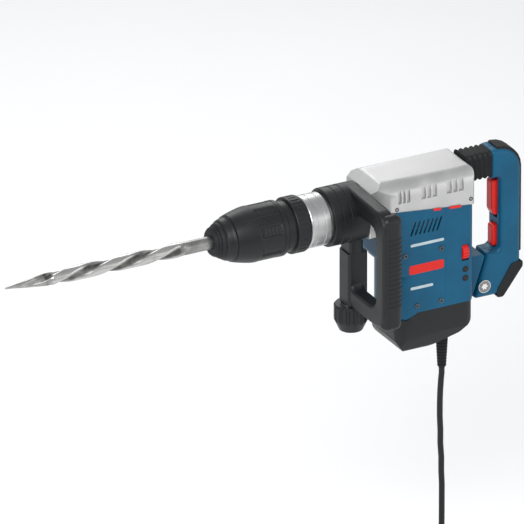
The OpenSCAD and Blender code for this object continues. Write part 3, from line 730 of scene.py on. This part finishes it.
def screw(centre, direction, radius, rise, socket=0.45, star=6):
    """A socket-head screw: a domed rim round a star-shaped socket, facing along direction."""
    bm = bmesh.new()
    turn = Vector((0, 0, 1)).rotation_difference(Vector(direction)).to_matrix()
    rings = []
    sides = 48
    shapes = [(1.0, -rise, 0), (1.0, 0.35 * rise, 0), (0.93, 0.8 * rise, 0), (0.82, rise, 0),
              (socket * 1.15, rise, 1), (socket, 0.9 * rise, 1), (socket * 0.96, -0.4 * rise, 1)]
    for share, height, is_star in shapes:
        ring = []
        for k in range(sides):
            angle = 2 * math.pi * k / sides
            r = radius * share * (1 + (0.16 * math.cos(star * angle) if is_star else 0))
            ring.append(bm.verts.new(
                centre + turn @ Vector((r * math.cos(angle), r * math.sin(angle), height)) * MM))
        rings.append(ring)
    bridged(bm, rings, sides)
    bm.faces.new(rings[0])
    bm.faces.new(rings[-1])
    return bm


# ---- Operators, one for each piece or group of like pieces ----

class JACKHAMMER_OT_stage(bpy.types.Operator):
    """Makes the camera, the floor, the lights and the sky"""
    bl_idname = "jackhammer.stage"
    bl_label = "Stage and Camera"

    def execute(self, context):
        values = settings("stage")
        scene = context.scene
        aim = at(*VIEW_CENTRE)
        flat = math.cos(values.elevation)
        towards = Vector((math.sin(values.azimuth) * flat, -math.cos(values.azimuth) * flat,
                          math.sin(values.elevation)))
        lens = bpy.data.cameras.new("Camera")
        lens.lens = values.lens
        lens.sensor_width = 36
        lens.clip_end = 100
        camera = bpy.data.objects.new("Camera", lens)
        camera.location = aim + towards * values.distance
        camera.rotation_euler = towards.to_track_quat("Z", "Y").to_euler()
        scene.collection.objects.link(camera)
        scene.camera = camera
        scene.view_settings.view_transform = "Standard"
        self.floor()
        self.lights(scene, aim)
        return {"FINISHED"}

    def floor(self):
        """A wide pale disc just under the coil and the plug."""
        low = CAD_BOX[0][2] - 0.0002
        bm = bmesh.new()
        bmesh.ops.create_circle(bm, cap_ends=True, segments=128, radius=30)
        for vert in bm.verts:
            vert.co.z = low
        floor = piece_from("Floor", bm)
        material, tree, shader = new_material("Studio floor", Roughness=0.8)
        coords = add(tree, "ShaderNodeTexCoord").outputs["Object"]
        tone = blended(tree, noise(tree, coords, 3.0, 4.0, 0.6), (0.95, 0.95, 0.95), (0.98, 0.98, 0.98))
        tree.links.new(tone, shader.inputs["Base Color"])
        floor.data.materials.append(material)

    def lights(self, scene, aim):
        sky = bpy.data.worlds.new("Studio sky")
        sky.use_nodes = True
        sky.node_tree.nodes["Background"].inputs["Color"].default_value = (0.97, 0.985, 1.0, 1)
        sky.node_tree.nodes["Background"].inputs["Strength"].default_value = 0.58
        scene.world = sky
        lamps = [("Key", (-1.2, -1.5, 1.5), 1.4, 44), ("Fill", (1.6, -1.7, 0.5), 1.6, 13),
                 ("Rim", (0.6, 1.9, 1.2), 1.2, 15), ("Front", (-2.2, -0.6, 0.3), 1.0, 9)]
        for name, offset, size, power in lamps:
            light = bpy.data.lights.new(name, "AREA")
            light.size = size
            light.energy = power
            lamp = bpy.data.objects.new(name, light)
            lamp.location = aim + Vector(offset)
            lamp.rotation_euler = Vector(offset).to_track_quat("Z", "Y").to_euler()
            scene.collection.objects.link(lamp)


HANG = [(-97, 0, -212), (-97, 0, -221), (-98, 0, -231), (-99, 0, -246), (-99, 1, -265), (-99, 1, -285),
        (-98, 1, -305), (-98, 1, -325), (-97, 0, -345), (-97, 0, -365), (-96, 0, -385), (-96, 0, -405),
        (-96, 0, -425), (-96, 0, -442), (-97, 0, -456), (-97, 0, -470), (-97, 0, -482), (-97, -2, -494),
        (-97, -8, -506), (-97, -16, -514), (-97, -26, -519), (-97, -40, -522)]
TAIL = [(-156, 19, -546), (-140, 19, -546), (-124, 19, -544), (-108, 19, -538), (-94, 19, -533),
        (-86, 19, -532), (-80, 19, -532)]
COIL_AT = (-156, -40)
COIL_OUT = 59


class JACKHAMMER_OT_cord(bpy.types.Operator):
    """Makes the mains cord with its coil, the tie round the coil, the strain relief and the plug"""
    bl_idname = "jackhammer.cord"
    bl_label = "Cord and Plug"

    def coil(self, values):
        """The coil's turns, wound in and out again, layer under layer."""
        pitch = values.diameter / MM
        steps = 24
        turn = 0.0
        points = []
        for layer in range(values.layers):
            inwards = layer % 2 == 0
            z = HANG[-1][2] - layer * pitch
            start = COIL_OUT if inwards else COIL_OUT - values.turns_per_layer * pitch
            step = -pitch if inwards else pitch
            for k in range(values.turns_per_layer * steps):
                points.append((turn + k / steps, start + step * k / steps, z))
            turn += values.turns_per_layer
            end = start + step * values.turns_per_layer
            if layer < values.layers - 1:
                for k in range(steps // 4):
                    share = k / (steps // 4)
                    points.append((turn + 0.25 * share, end, z - pitch * (3 * share ** 2 - 2 * share ** 3)))
                turn += 0.25
        places = []
        for turns, r, z in points[1:]:
            angle = -2 * math.pi * turns
            places.append((COIL_AT[0] + r * math.cos(angle), COIL_AT[1] + r * math.sin(angle), z))
        return places

    def execute(self, context):
        values = settings("cord")
        points = [Vector(p) * MM for p in HANG + self.coil(values) + TAIL]
        curve = bpy.data.curves.new("mains_cord", "CURVE")
        curve.dimensions = "3D"
        curve.bevel_depth = values.diameter / 2
        curve.bevel_resolution = 5
        curve.use_fill_caps = True
        spline = curve.splines.new("POLY")
        spline.points.add(len(points) - 1)
        for point, place in zip(spline.points, points):
            point.co = (*place, 1)
        spline.use_smooth = True
        cord = bpy.data.objects.new("mains_cord", curve)
        context.scene.collection.objects.link(cord)
        curve.materials.append(cord_sheath())
        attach(cord, "housing")
        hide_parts("cord", "cord_coil", "cord_tail")
        relief = self.strain_relief()
        plug = self.plug()
        tie = self.tie(values)
        length = sum((b - a).length for a, b in zip(points, points[1:]))
        if abs(length - values.length) > 0.1:
            raise RuntimeError(f"the cord's route is {length:.3f} m, and its setting {values.length:.3f} m")
        return {"FINISHED"}

    def tie(self, values):
        """A hook-and-loop strap round the coil's bundle of turns."""
        r = values.diameter / 2 / MM
        mid = COIL_OUT - values.turns_per_layer * values.diameter / MM / 2
        half_w = values.turns_per_layer * r + r + 0.2
        half_h = values.layers * r + 0.1
        middle_z = HANG[-1][2] - (values.layers - 1) * r
        bm = bmesh.new()
        section = box_points((mid - half_w, mid + half_w), (middle_z - half_h, middle_z + half_h), 4.2)
        loop = rounded(section)
        inner = rounded(section, 1.0)
        rings = []
        for width, ring in ((-7, loop), (7, loop), (7, inner), (-7, inner)):
            rings.append([bm.verts.new(Vector((COIL_AT[0] - x, COIL_AT[1] + width, z)) * MM)
                          for x, z in ring])
        bridged(bm, rings + rings[:1], len(loop))
        tie = piece_from("coil_tie", bm)
        return finish_piece(tie, soft_black(), "housing")

    def strain_relief(self):
        """The ribbed, tapered sleeve that the cord leaves through."""
        x, low = HANG[0][0], HANG[0][2]
        top = -131
        profile = [(0, top), (10, top), (10, -135), (8, -135.6), (8, -153), (8.8, -154), (8.8, -157)]
        ribs = 12
        high = -158
        step = (high - low) / ribs
        for k in range(ribs):
            z = high - k * step
            r = 8.3 - 3.0 * k / ribs
            profile += [(r + 0.5, z), (r + 0.5, z - 0.5 * step), (r - 0.7, z - 0.55 * step),
                        (r - 0.8, z - 0.95 * step)]
        profile += [(4.8, low), (0, low)]
        bm = bmesh.new()
        rings = []
        sides = 40
        for r, z in profile:
            rings.append([bm.verts.new(Vector((x + r * math.cos(2 * math.pi * k / sides),
                                               r * math.sin(2 * math.pi * k / sides), z)) * MM)
                          for k in range(sides if r > 0 else 1)])
        bridged(bm, rings, sides)
        relief = piece_from("ribbed_strain_relief", bm)
        return finish_piece(relief, soft_black(), "housing", ["strain_relief"])

    def plug(self):
        """The moulded round plug, with finger ribs and a raised rim."""
        start = Vector(TAIL[-1])
        profile = [(0, 0), (0, 4.6), (0.5, 5.0), (6, 5.6), (7, 5.0), (8.5, 5.0), (9.5, 6.0), (14, 6.5),
                   (15, 5.8), (16.5, 5.8), (17.5, 6.9), (24, 7.4), (27, 8.6), (30, 11.6), (36, 15.0),
                   (42, 17.6), (43.5, 18), (60, 18), (61, 17.7), (61.6, 17.0), (62.6, 17.0), (63.2, 17.6),
                   (65.2, 17.6), (66, 16.8), (66, 0)]
        bm = bmesh.new()
        sides = 72
        rings = []
        for x, r in profile:
            ring = []
            for k in range(sides if r > 0 else 1):
                angle = 2 * math.pi * k / sides
                flute = 0.55 * max(0.0, math.cos(18 * angle)) if 43 < x < 60.5 else 0
                ring.append(bm.verts.new((start + Vector((x, (r - flute) * math.cos(angle),
                                                          (r - flute) * math.sin(angle)))) * MM))
            rings.append(ring)
        bridged(bm, rings, sides)
        plug = piece_from("moulded_plug", bm)
        return finish_piece(plug, soft_black(), "housing", ["plug_body"])


class JACKHAMMER_OT_finishes(bpy.types.Operator):
    """Gives every CAD node its finish; the inner parts keep their CAD shapes"""
    bl_idname = "jackhammer.finishes"
    bl_label = "Finishes of CAD Nodes"

    special = {"anvil": bright_steel, "clamp_band": dark_steel, "fan": white_moulding,
               "control_module": green_board, "chisel": chisel_steel}

    def execute(self, context):
        for name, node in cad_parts.items():
            for slot in node.material_slots:
                made = self.special.get(name) or FINISHES.get(slot.material.name.split(".")[0])
                if made is None:
                    raise RuntimeError(f"{name} has a material slot with no finish: {slot.material.name}")
                slot.link = "OBJECT"
                slot.material = made()
        return {"FINISHED"}


class JACKHAMMER_OT_chisel(bpy.types.Operator):
    """Makes the pointed chisel with its twisted body"""
    bl_idname = "jackhammer.chisel"
    bl_label = "Chisel"

    def execute(self, context):
        tip, back = -467.0, -67.0
        low, high = -400.0, -205.0
        twist = math.radians(480) / (high - low)
        profile = [(tip, 0), (tip + 0.4, 0.9)]
        steps = 36
        for k in range(1, steps):
            share = k / steps
            profile.append((tip + 1 + (low - tip - 1) * share, 1.3 + 6.4 * share))
        rows = 150
        profile += [(low + (high - low) * k / rows, 8.6) for k in range(rows + 1)]
        profile += [(high + 1.5, 8.8), (high + 3, 9), (-170, 9), (-112, 9), (-69, 9), (-67.6, 8.2),
                    (back, 6.8)]

        def radius_at(x, radius, angle):
            if x > high + 2 or x < tip + 0.5:
                return radius
            wave = math.cos(angle + twist * (x - low))
            land = min(1.0, max(0.0, (wave * wave - 0.12) / 0.6))
            land = land * land * (3 - 2 * land)
            fade = min(1.0, (high + 2 - x) / 12, (x - tip) / 60)
            return radius + fade * (-1.5 + 3.0 * land)

        piece = turned_piece("twisted_chisel", profile, 72, radius_at, 60)
        # hollow: how deep a point lies in a flute; the steel uses it as painted shade in the flutes, and 0.35
        # is a fixed darker tone off the fluted span.
        hollow = piece.data.attributes.new("hollow", "FLOAT", "POINT")
        for vert, item in zip(piece.data.vertices, hollow.data):
            x = (vert.co.x - CLAMP_X) / MM
            reach = math.hypot(vert.co.y, vert.co.z - AXIS_Z) / MM
            item.value = max(0.0, min(1.0, (9.4 - reach) / 2.4)) if low - 10 < x < high else 0.35
        finish_piece(piece, self.steel(), "chisel", ["chisel"])
        return {"FINISHED"}

    def steel(self):
        """Forged steel, darkened in the flutes by painted shade that stands in for their shadow and lighter
        on the lands, with stains that change its tone.
        """
        material, tree, shader = new_material("Twisted chisel steel", Metallic=1.0)
        skin = placed(tree, turning_marks(), Scale=700.0)
        dents = placed(tree, cast_skin(), Scale=320.0)
        hollow = add(tree, "ShaderNodeAttribute", attribute_name="hollow").outputs["Fac"]
        # Painted shade in the flutes, added to stains from the turning marks' tone.
        flute_shade_and_stains = maths(tree, "ADD", hollow, span(tree, skin.outputs["Tone"], 0.0, 1.0, -0.25, 0.4), True)
        tone = blended(tree, flute_shade_and_stains, (0.50, 0.495, 0.485), (0.085, 0.083, 0.08))
        tree.links.new(tone, shader.inputs["Base Color"])
        tree.links.new(span(tree, flute_shade_and_stains, 0.0, 1.0, 0.28, 0.5), shader.inputs["Roughness"])
        height = maths(tree, "ADD", skin.outputs["Height"], dents.outputs["Height"])
        bumped(tree, shader, height, 0.00008)
        return material


class JACKHAMMER_OT_holder(bpy.types.Operator):
    """Makes the tool holder's dust cap, locking sleeve, lock ring and bright collar"""
    bl_idname = "jackhammer.holder"
    bl_label = "Tool Holder"

    def execute(self, context):
        cap = turned_piece("dust_cap_lip", [
            (-164, 9.4), (-164.0, 16.6), (-163.7, 17.3), (-163, 17.6), (-161.6, 19.3), (-160.4, 19.9),
            (-159.4, 19.4), (-158.6, 20.5), (-157, 21.4), (-156, 21.0), (-155.2, 22.4), (-153.4, 23.8),
            (-152, 24.3), (-150.4, 24.3), (-150.4, 13.6), (-157, 13.6), (-159, 9.4), (-164, 9.4)])
        finish_piece(cap, soft_black(), "tool_holder", ["dust_cap"])
        self.sleeve()
        self.ring()
        self.collar()
        return {"FINISHED"}

    def sleeve(self):
        r = 38.0
        pockets = 8
        start, end = -104.0, -73.0
        profile = [(-150, 13.7), (-150, 24.2), (-149.6, 24.8), (-148, 27)]
        profile += [(-146 + 2 * k, 27.8 + 0.46 * k + 0.14 * k) for k in range(4)]
        profile += [(-138.4, 31.1), (-137.8, 30.5), (-136.9, 30.5), (-136.3, 31.7), (-132, 33.1),
                    (-126, 34.6), (-120, 36.0), (-114, 37.2), (-110, 37.8), (-107, r)]
        profile += [(x, r) for x in (-105, -104.2)]
        profile += [(start + (end - start) * k / 30, r) for k in range(31)]
        profile += [(-72.5, r), (-71.6, r), (-71.2, r - 0.6), (-70.2, r - 0.6), (-69.8, r), (-66, r),
                    (-64.4, r - 0.4), (-63.5, r - 1.3), (-63.5, r - 2.7), (-84, r - 2.7), (-84, r - 4.5),
                    (-112, r - 4.5), (-138, 25), (-146, 20), (-146, 13.7), (-150, 13.7)]

        def radius_at(x, radius, angle):
            if not start <= x <= end or radius < r - 0.01:
                return radius
            along = min(1.0, (x - start) / 2.5, (end - x) / 2.5)
            turn = (angle * pockets / (2 * math.pi)) % 1
            across = min(1.0, max(0.0, (0.26 - abs(turn - 0.5)) / 0.05))
            ridge = 0.35 * max(0.0, math.cos(2 * math.pi * (x - start) / 5.2))
            both = min(along, across)
            return radius - (1.7 - ridge) * both * both * (3 - 2 * both)

        sleeve = turned_piece("gripped_locking_sleeve", profile, 192, radius_at, 30)
        finish_piece(sleeve, black_moulding(), "locking_sleeve", ["locking_sleeve"])

    def ring(self):
        r = 38.5
        profile = [(-68, 31), (-68, 34.5), (-51.2, 34.6), (-51.2, r - 1.6), (-50.8, r - 0.6), (-49.8, r)]
        profile += [(-48 + 13 * k / 12, r) for k in range(13)]
        profile += [(-34, r), (-32.6, r - 0.5), (-31.7, r - 1.4), (-31.5, r - 2), (-31.5, 24.1), (-60, 24.1),
                    (-60, 31), (-68, 31)]

        def radius_at(x, radius, angle):
            if not -48.1 < x < -34.9 or radius < r - 0.01:
                return radius
            fade = min(1.0, (x + 48) / 2, (-35 - x) / 2)
            return radius - 0.8 * max(0.0, fade) * max(0.0, math.cos(32 * angle)) ** 0.7

        ring = turned_piece("ribbed_lock_ring", profile, 256, radius_at, 30)
        finish_piece(ring, black_moulding(), "lock_ring", ["lock_ring"])

    def collar(self):
        neck = turned_piece("neck_collar", [
            (-30, 26), (-30, 34.2), (-29.6, 35.0), (-28.6, 35.8), (-27.6, 36), (-22.4, 36), (-22, 35.4),
            (-20.6, 35.4), (-20.2, 36), (-10, 36), (-9.6, 35.5), (-8.6, 35.5), (-8.2, 36), (-1.4, 36),
            (-0.3, 35.6), (0.5, 34.8), (1, 33.8), (1, 33), (57, 33), (57, 18.6), (53, 18.6), (53, 28),
            (2, 28), (2, 18.6), (-3, 18.6), (-3, 26), (-30, 26)], 128)
        satin = turned("Machined collar", (0.52, 0.52, 0.52), rough=0.34, depth=0.00001, stain=0.9)
        finish_piece(neck, satin, "housing", ["neck"])


class JACKHAMMER_OT_housings(bpy.types.Operator):
    """Makes the gear housing, the motor housing, the rear cover and the base cap"""
    bl_idname = "jackhammer.housings"
    bl_label = "Housings"

    def execute(self, context):
        edge = settings("housing").edge
        shells = [("gear_housing_casting", "gear_housing", edge, silver_casting, "silver_casting"),
                  ("motor_housing_shell", "motor_housing", edge, blue_moulding, "blue_plastic"),
                  ("rear_cover_shell", "rear_cover", edge, blue_moulding, "blue_plastic"),
                  ("base_cap_shell", "base_cap", edge, black_moulding, "black_plastic")]
        for name, node, width, made, slot in shells:
            finish_piece(softened(name, node, width), made(), "housing", [node])
        self.screws()
        self.marks()
        return {"FINISHED"}

    def screws(self):
        heads = []
        for side in SIDES:
            for x, z in ((122, -136), (158, -136), (104, -60), (158, -60)):
                heads.append(screw(at(x, side * HOUSING_HALF, z), (0, side, 0), 3.6, 1.4))
            for x, z in ((92, 10), (203, 2)):
                heads.append(screw(at(x, side * 43.6, z), (0, side, 0), 3.0, 1.1))
        finish_piece(merged("housing_screw_heads", heads), dark_steel(), "housing",
                     ["housing_screws"])

    def marks(self):
        """A plain badge bar, pale stripes and slim red marks; none of them says anything."""
        for side in SIDES:
            y = side * HOUSING_HALF
            tag = "near" if side == NEAR else "far"
            layers = [(y - side * 0.3, 0), (y + side * 0.22, 0), (y + side * 0.35, 0.25)]
            red = [pad(box_points((110, 162), (-89, -76), 3.2), layers, side_on)]
            for start, end, z in ((146, 158, -1.4), (170, 188, -3.8)):
                red.append(pad([[start, z - 1.6, 1], [end, z - 2.6, 1], [end, z + 0.8, 1],
                                [start, z + 1.8, 1]], layers, side_on))
            finish_piece(merged("badge_bar_" + tag, red), red_moulding(), "housing")
            pale = [pad(box_points((112, 162), (-49, -45), 1.8), layers, side_on),
                    pad(box_points((112, 146), (-111.5, -107.5), 1.8), layers, side_on)]
            finish_piece(merged("badge_stripes_" + tag, pale), pale_print(), "housing")


class JACKHAMMER_OT_trim(bpy.types.Operator):
    """Makes the speed dial, the lamps' bezels and the pivot's caps"""
    bl_idname = "jackhammer.trim"
    bl_label = "Dial, Lamps and Pivot"

    def execute(self, context):
        dial = softened("speed_wheel", "speed_dial", 0.0004, 2)
        finish_piece(dial, red_moulding(), "speed_dial", ["speed_dial"])
        bezels = []
        lamp_x, lamp_heights, sides = 194.5, (-98, -111), 40
        profile = ((4.2, 44.6), (4.2, 45.6), (3.8, 46.0), (3.0, 46.0), (2.7, 45.7), (2.7, 44.6))
        angles = [2 * math.pi * k / sides for k in range(sides)]
        for z in lamp_heights:
            bezel = bmesh.new()
            rows = [[bezel.verts.new(at(lamp_x + r * math.cos(a), -out, z + r * math.sin(a)))
                     for a in angles] for r, out in profile]
            bridged(bezel, rows + rows[:1], sides)
            bezels.append(bezel)
        finish_piece(merged("lamp_bezels", bezels), black_moulding(), "housing")
        caps = [screw(at(PIVOT_X, side * 18.4, PIVOT_Z), (0, side, 0), 8.9, 1.1, 0.45) for side in SIDES]
        finish_piece(merged("pivot_caps", caps), cast("Grey pivot casting", (0.22, 0.22, 0.225)), "housing")
        return {"FINISHED"}


HANDLE_PROFILE = [[249, 50, 4], [293, 50, 32], [293, -122, 16], [264, -161, 14], [223, -161, 4],
                  [243, -98, 3], [262, -98, 9], [262, 9, 5], [249, 9, 0.5]]


class JACKHAMMER_OT_rear_handle(bpy.types.Operator):
    """Makes the rear handle, its soft strip, trigger, lock button, bumper and bellows"""
    bl_idname = "jackhammer.rear_handle"
    bl_label = "Rear Handle"

    def execute(self, context):
        edge = settings("handles").rear_round / MM
        rim = round_layers(-18, 18, edge, edge)
        half = len(rim) // 2
        layers = rim[:half] + [(-0.7, 0), (-0.25, 0.5), (0.25, 0.5), (0.7, 0)] + rim[half:]
        shell = layered("rear_handle_shell", [HANDLE_PROFILE], layers, side_on)
        carved(shell, box_cutter((246, 279), (-9, 9), (-54, 5)),
               box_cutter((246, 279), (-8, 8), (-96, -62)),
               box_cutter((205, 252), (-9.3, 9.3), (-170, -124)),
               rod_cutter("x", (240, 0, DAMPER_Z), 11.4, 38))
        finish_piece(shell, blue_moulding(), "rear_handle", ["handle_left", "handle_right"])
        strip = layered("soft_grip_strip", [[[259, 52.5, 1], [296, 52.5, 34], [296, -106, 2], [284, -106, 1],
                                             [284, 16, 18], [259, 39, 1]]],
                        round_layers(-14, 14, 2.6, 2.6), side_on)
        carved(strip, rod_cutter("x", (240, 0, DAMPER_Z), 8, 38))
        finish_piece(strip, soft_black(), "rear_handle", ["handle_soft_grip"])
        trigger = layered("trigger_lever", [[[254, 2, 4], [270, 2, 3], [270, -49, 2], [258, -49, 4],
                                             [254, -41, 6]]], round_layers(-8, 8, 2.4, 2.4), side_on)
        finish_piece(trigger, red_moulding(), "trigger", ["trigger"])
        button = layered("lock_button_cap", [[[255.5, -64, 3], [272, -64, 2], [272, -94, 2],
                                              [255.5, -94, 3]]],
                         round_layers(-7, 7, 2.2, 2.2), side_on)
        finish_piece(button, red_moulding(), "lock_button", ["lock_button"])
        finish_piece(softened("corner_bumper", "bumper", 0.0012), soft_black(), "rear_handle",
                     ["bumper"])
        self.bellows()
        return {"FINISHED"}

    def bellows(self):
        folds = 5
        steps = 8
        layers = []
        for k in range(folds * steps + 1):
            share = k / (folds * steps)
            layers.append((210.2 + 38.6 * share, 1.1 - 1.1 * math.cos(2 * math.pi * folds * share)))
        bellows = layered("rear_bellows", [box_points((-18, 18), (10, 50), 8)], layers, end_on)
        bellows.data.materials.append(soft_black())
        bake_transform(bellows)
        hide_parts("bellows")


class JACKHAMMER_OT_springs(bpy.types.Operator):
    """Makes the locking sleeve's spring and the damper's spring"""
    bl_idname = "jackhammer.springs"
    bl_label = "Springs"

    def execute(self, context):
        springs = [("sleeve_return_spring", "sleeve_spring", (-146, -124, 16, 2.4, 5, 0),
                    "locking_sleeve", "tool_holder"),
                   ("handle_damper_spring", "damper_spring", (210, 249, 8.75, 2.8, 7, DAMPER_Z),
                    "housing", "rear_handle")]
        for name, node, sizes, front_body, back_body in springs:
            spring = coil_spring(name, *sizes)
            spring.data.materials.append(bright_steel())
            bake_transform(spring)
            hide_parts(node)
        return {"FINISHED"}


class JACKHAMMER_OT_side_handle(bpy.types.Operator):
    """Makes the side handle: its loop, clamp, leg, ribbed grip and nut"""
    bl_idname = "jackhammer.side_handle"
    bl_label = "Side Handle"

    def execute(self, context):
        edge = settings("handles").side_round / MM
        outer = [[-110.9, 37, 24], [-110.9, -130.6, 26], [11.6, -130.6, 5], [11.6, 0, 4], [0, 40, 4]]
        gap = [[-87.1, 10, 14], [-87.1, -105, 16], [-18.6, -105, 10], [-18.6, -20, 4], [-25, 10, 4]]
        loop = layered("side_loop", [outer], round_layers(36, 56.5, edge, edge), end_on, [gap])
        carved(loop, rod_cutter("x", (20, 0, 0), CLAMP_BORE, 60))
        finish_piece(loop, black_moulding(), "side_handle", ["handle_loop"])
        leg = layered("side_leg", [box_points((34, 63), (-19, 12), 5)], round_layers(-131, -54, 2.5, 1.0),
                      level)
        finish_piece(leg, black_moulding(), "side_handle")
        clamp = turned_piece("side_clamp", [
            (3, CLAMP_BORE), (3, CLAMP_OUT - 1.6), (3.6, CLAMP_OUT - 0.6), (4.8, CLAMP_OUT),
            (14, CLAMP_OUT), (14.5, CLAMP_OUT - 0.7), (16.5, CLAMP_OUT - 0.7), (17, CLAMP_OUT),
            (26, CLAMP_OUT), (26.5, CLAMP_OUT - 0.7), (28.5, CLAMP_OUT - 0.7), (29, CLAMP_OUT),
            (54.4, CLAMP_OUT), (55.4, CLAMP_OUT - 0.6), (56, CLAMP_OUT - 1.6), (56, CLAMP_BORE),
            (3, CLAMP_BORE)], 128)
        finish_piece(clamp, black_moulding(), "side_handle")
        self.grip()
        nut = softened("fluted_nut", "knurled_nut", 0.0007, 2)
        finish_piece(nut, black_moulding(), "knurled_nut", ["knurled_nut"])
        return {"FINISHED"}

    def grip(self):
        """The upright bar with its soft, ribbed sleeve."""
        corners = box_points((36, 67), (-112, -86), 11)
        ends = round_layers(-131, 34, 8, 10, 6)
        bar = layered("side_grip_bar", [corners], [(z, i + 0.6) for z, i in ends], level)
        finish_piece(bar, black_moulding(), "side_handle")
        layers = [(-98, 2.0), (-97.6, 0.8), (-96.6, 0.2)]
        ribs = 15
        low, high = -95.0, 1.5
        for k in range(ribs * 6 + 1):
            share = k / (ribs * 6)
            layers.append((low + (high - low) * share, 0.45 - 0.45 * math.cos(2 * math.pi * ribs * share)))
        layers += [(2.8, 0.2), (3.7, 0.8), (4, 2.0)]
        sleeve = layered("ribbed_side_grip", [corners], layers, level)
        finish_piece(sleeve, soft_black(), "side_handle", ["grip_sleeve"])


class JACKHAMMER_PT_build(bpy.types.Panel):
    """Lists the settings and the operators in the order that main() calls them"""
    bl_idname = "JACKHAMMER_PT_build"
    bl_label = "Electric Jackhammer"
    bl_space_type = "VIEW_3D"
    bl_region_type = "UI"
    bl_category = "Jackhammer"

    def draw(self, context):
        for name, group in SETTINGS.items():
            box = self.layout.box()
            for key in group.__annotations__:
                box.prop(getattr(context.scene, name), key)
        for cls in OPERATORS:
            self.layout.operator(cls.bl_idname)


OPERATORS = [JACKHAMMER_OT_stage, JACKHAMMER_OT_cord, JACKHAMMER_OT_finishes, JACKHAMMER_OT_chisel,
             JACKHAMMER_OT_holder, JACKHAMMER_OT_housings, JACKHAMMER_OT_trim,
             JACKHAMMER_OT_rear_handle, JACKHAMMER_OT_springs, JACKHAMMER_OT_side_handle]


def register():
    for cls in [*SETTINGS.values(), *OPERATORS, JACKHAMMER_PT_build]:
        bpy.utils.register_class(cls)
    for name, group in SETTINGS.items():
        setattr(bpy.types.Scene, name, PointerProperty(type=group))


def unregister():
    for name in SETTINGS:
        delattr(bpy.types.Scene, name)
    for cls in reversed([*SETTINGS.values(), *OPERATORS, JACKHAMMER_PT_build]):
        bpy.utils.unregister_class(cls)


def main():
    register()
    for cls in OPERATORS:
        group, name = cls.bl_idname.split(".")
        getattr(getattr(bpy.ops, group), name)()


if __name__ == "__main__":
    main()
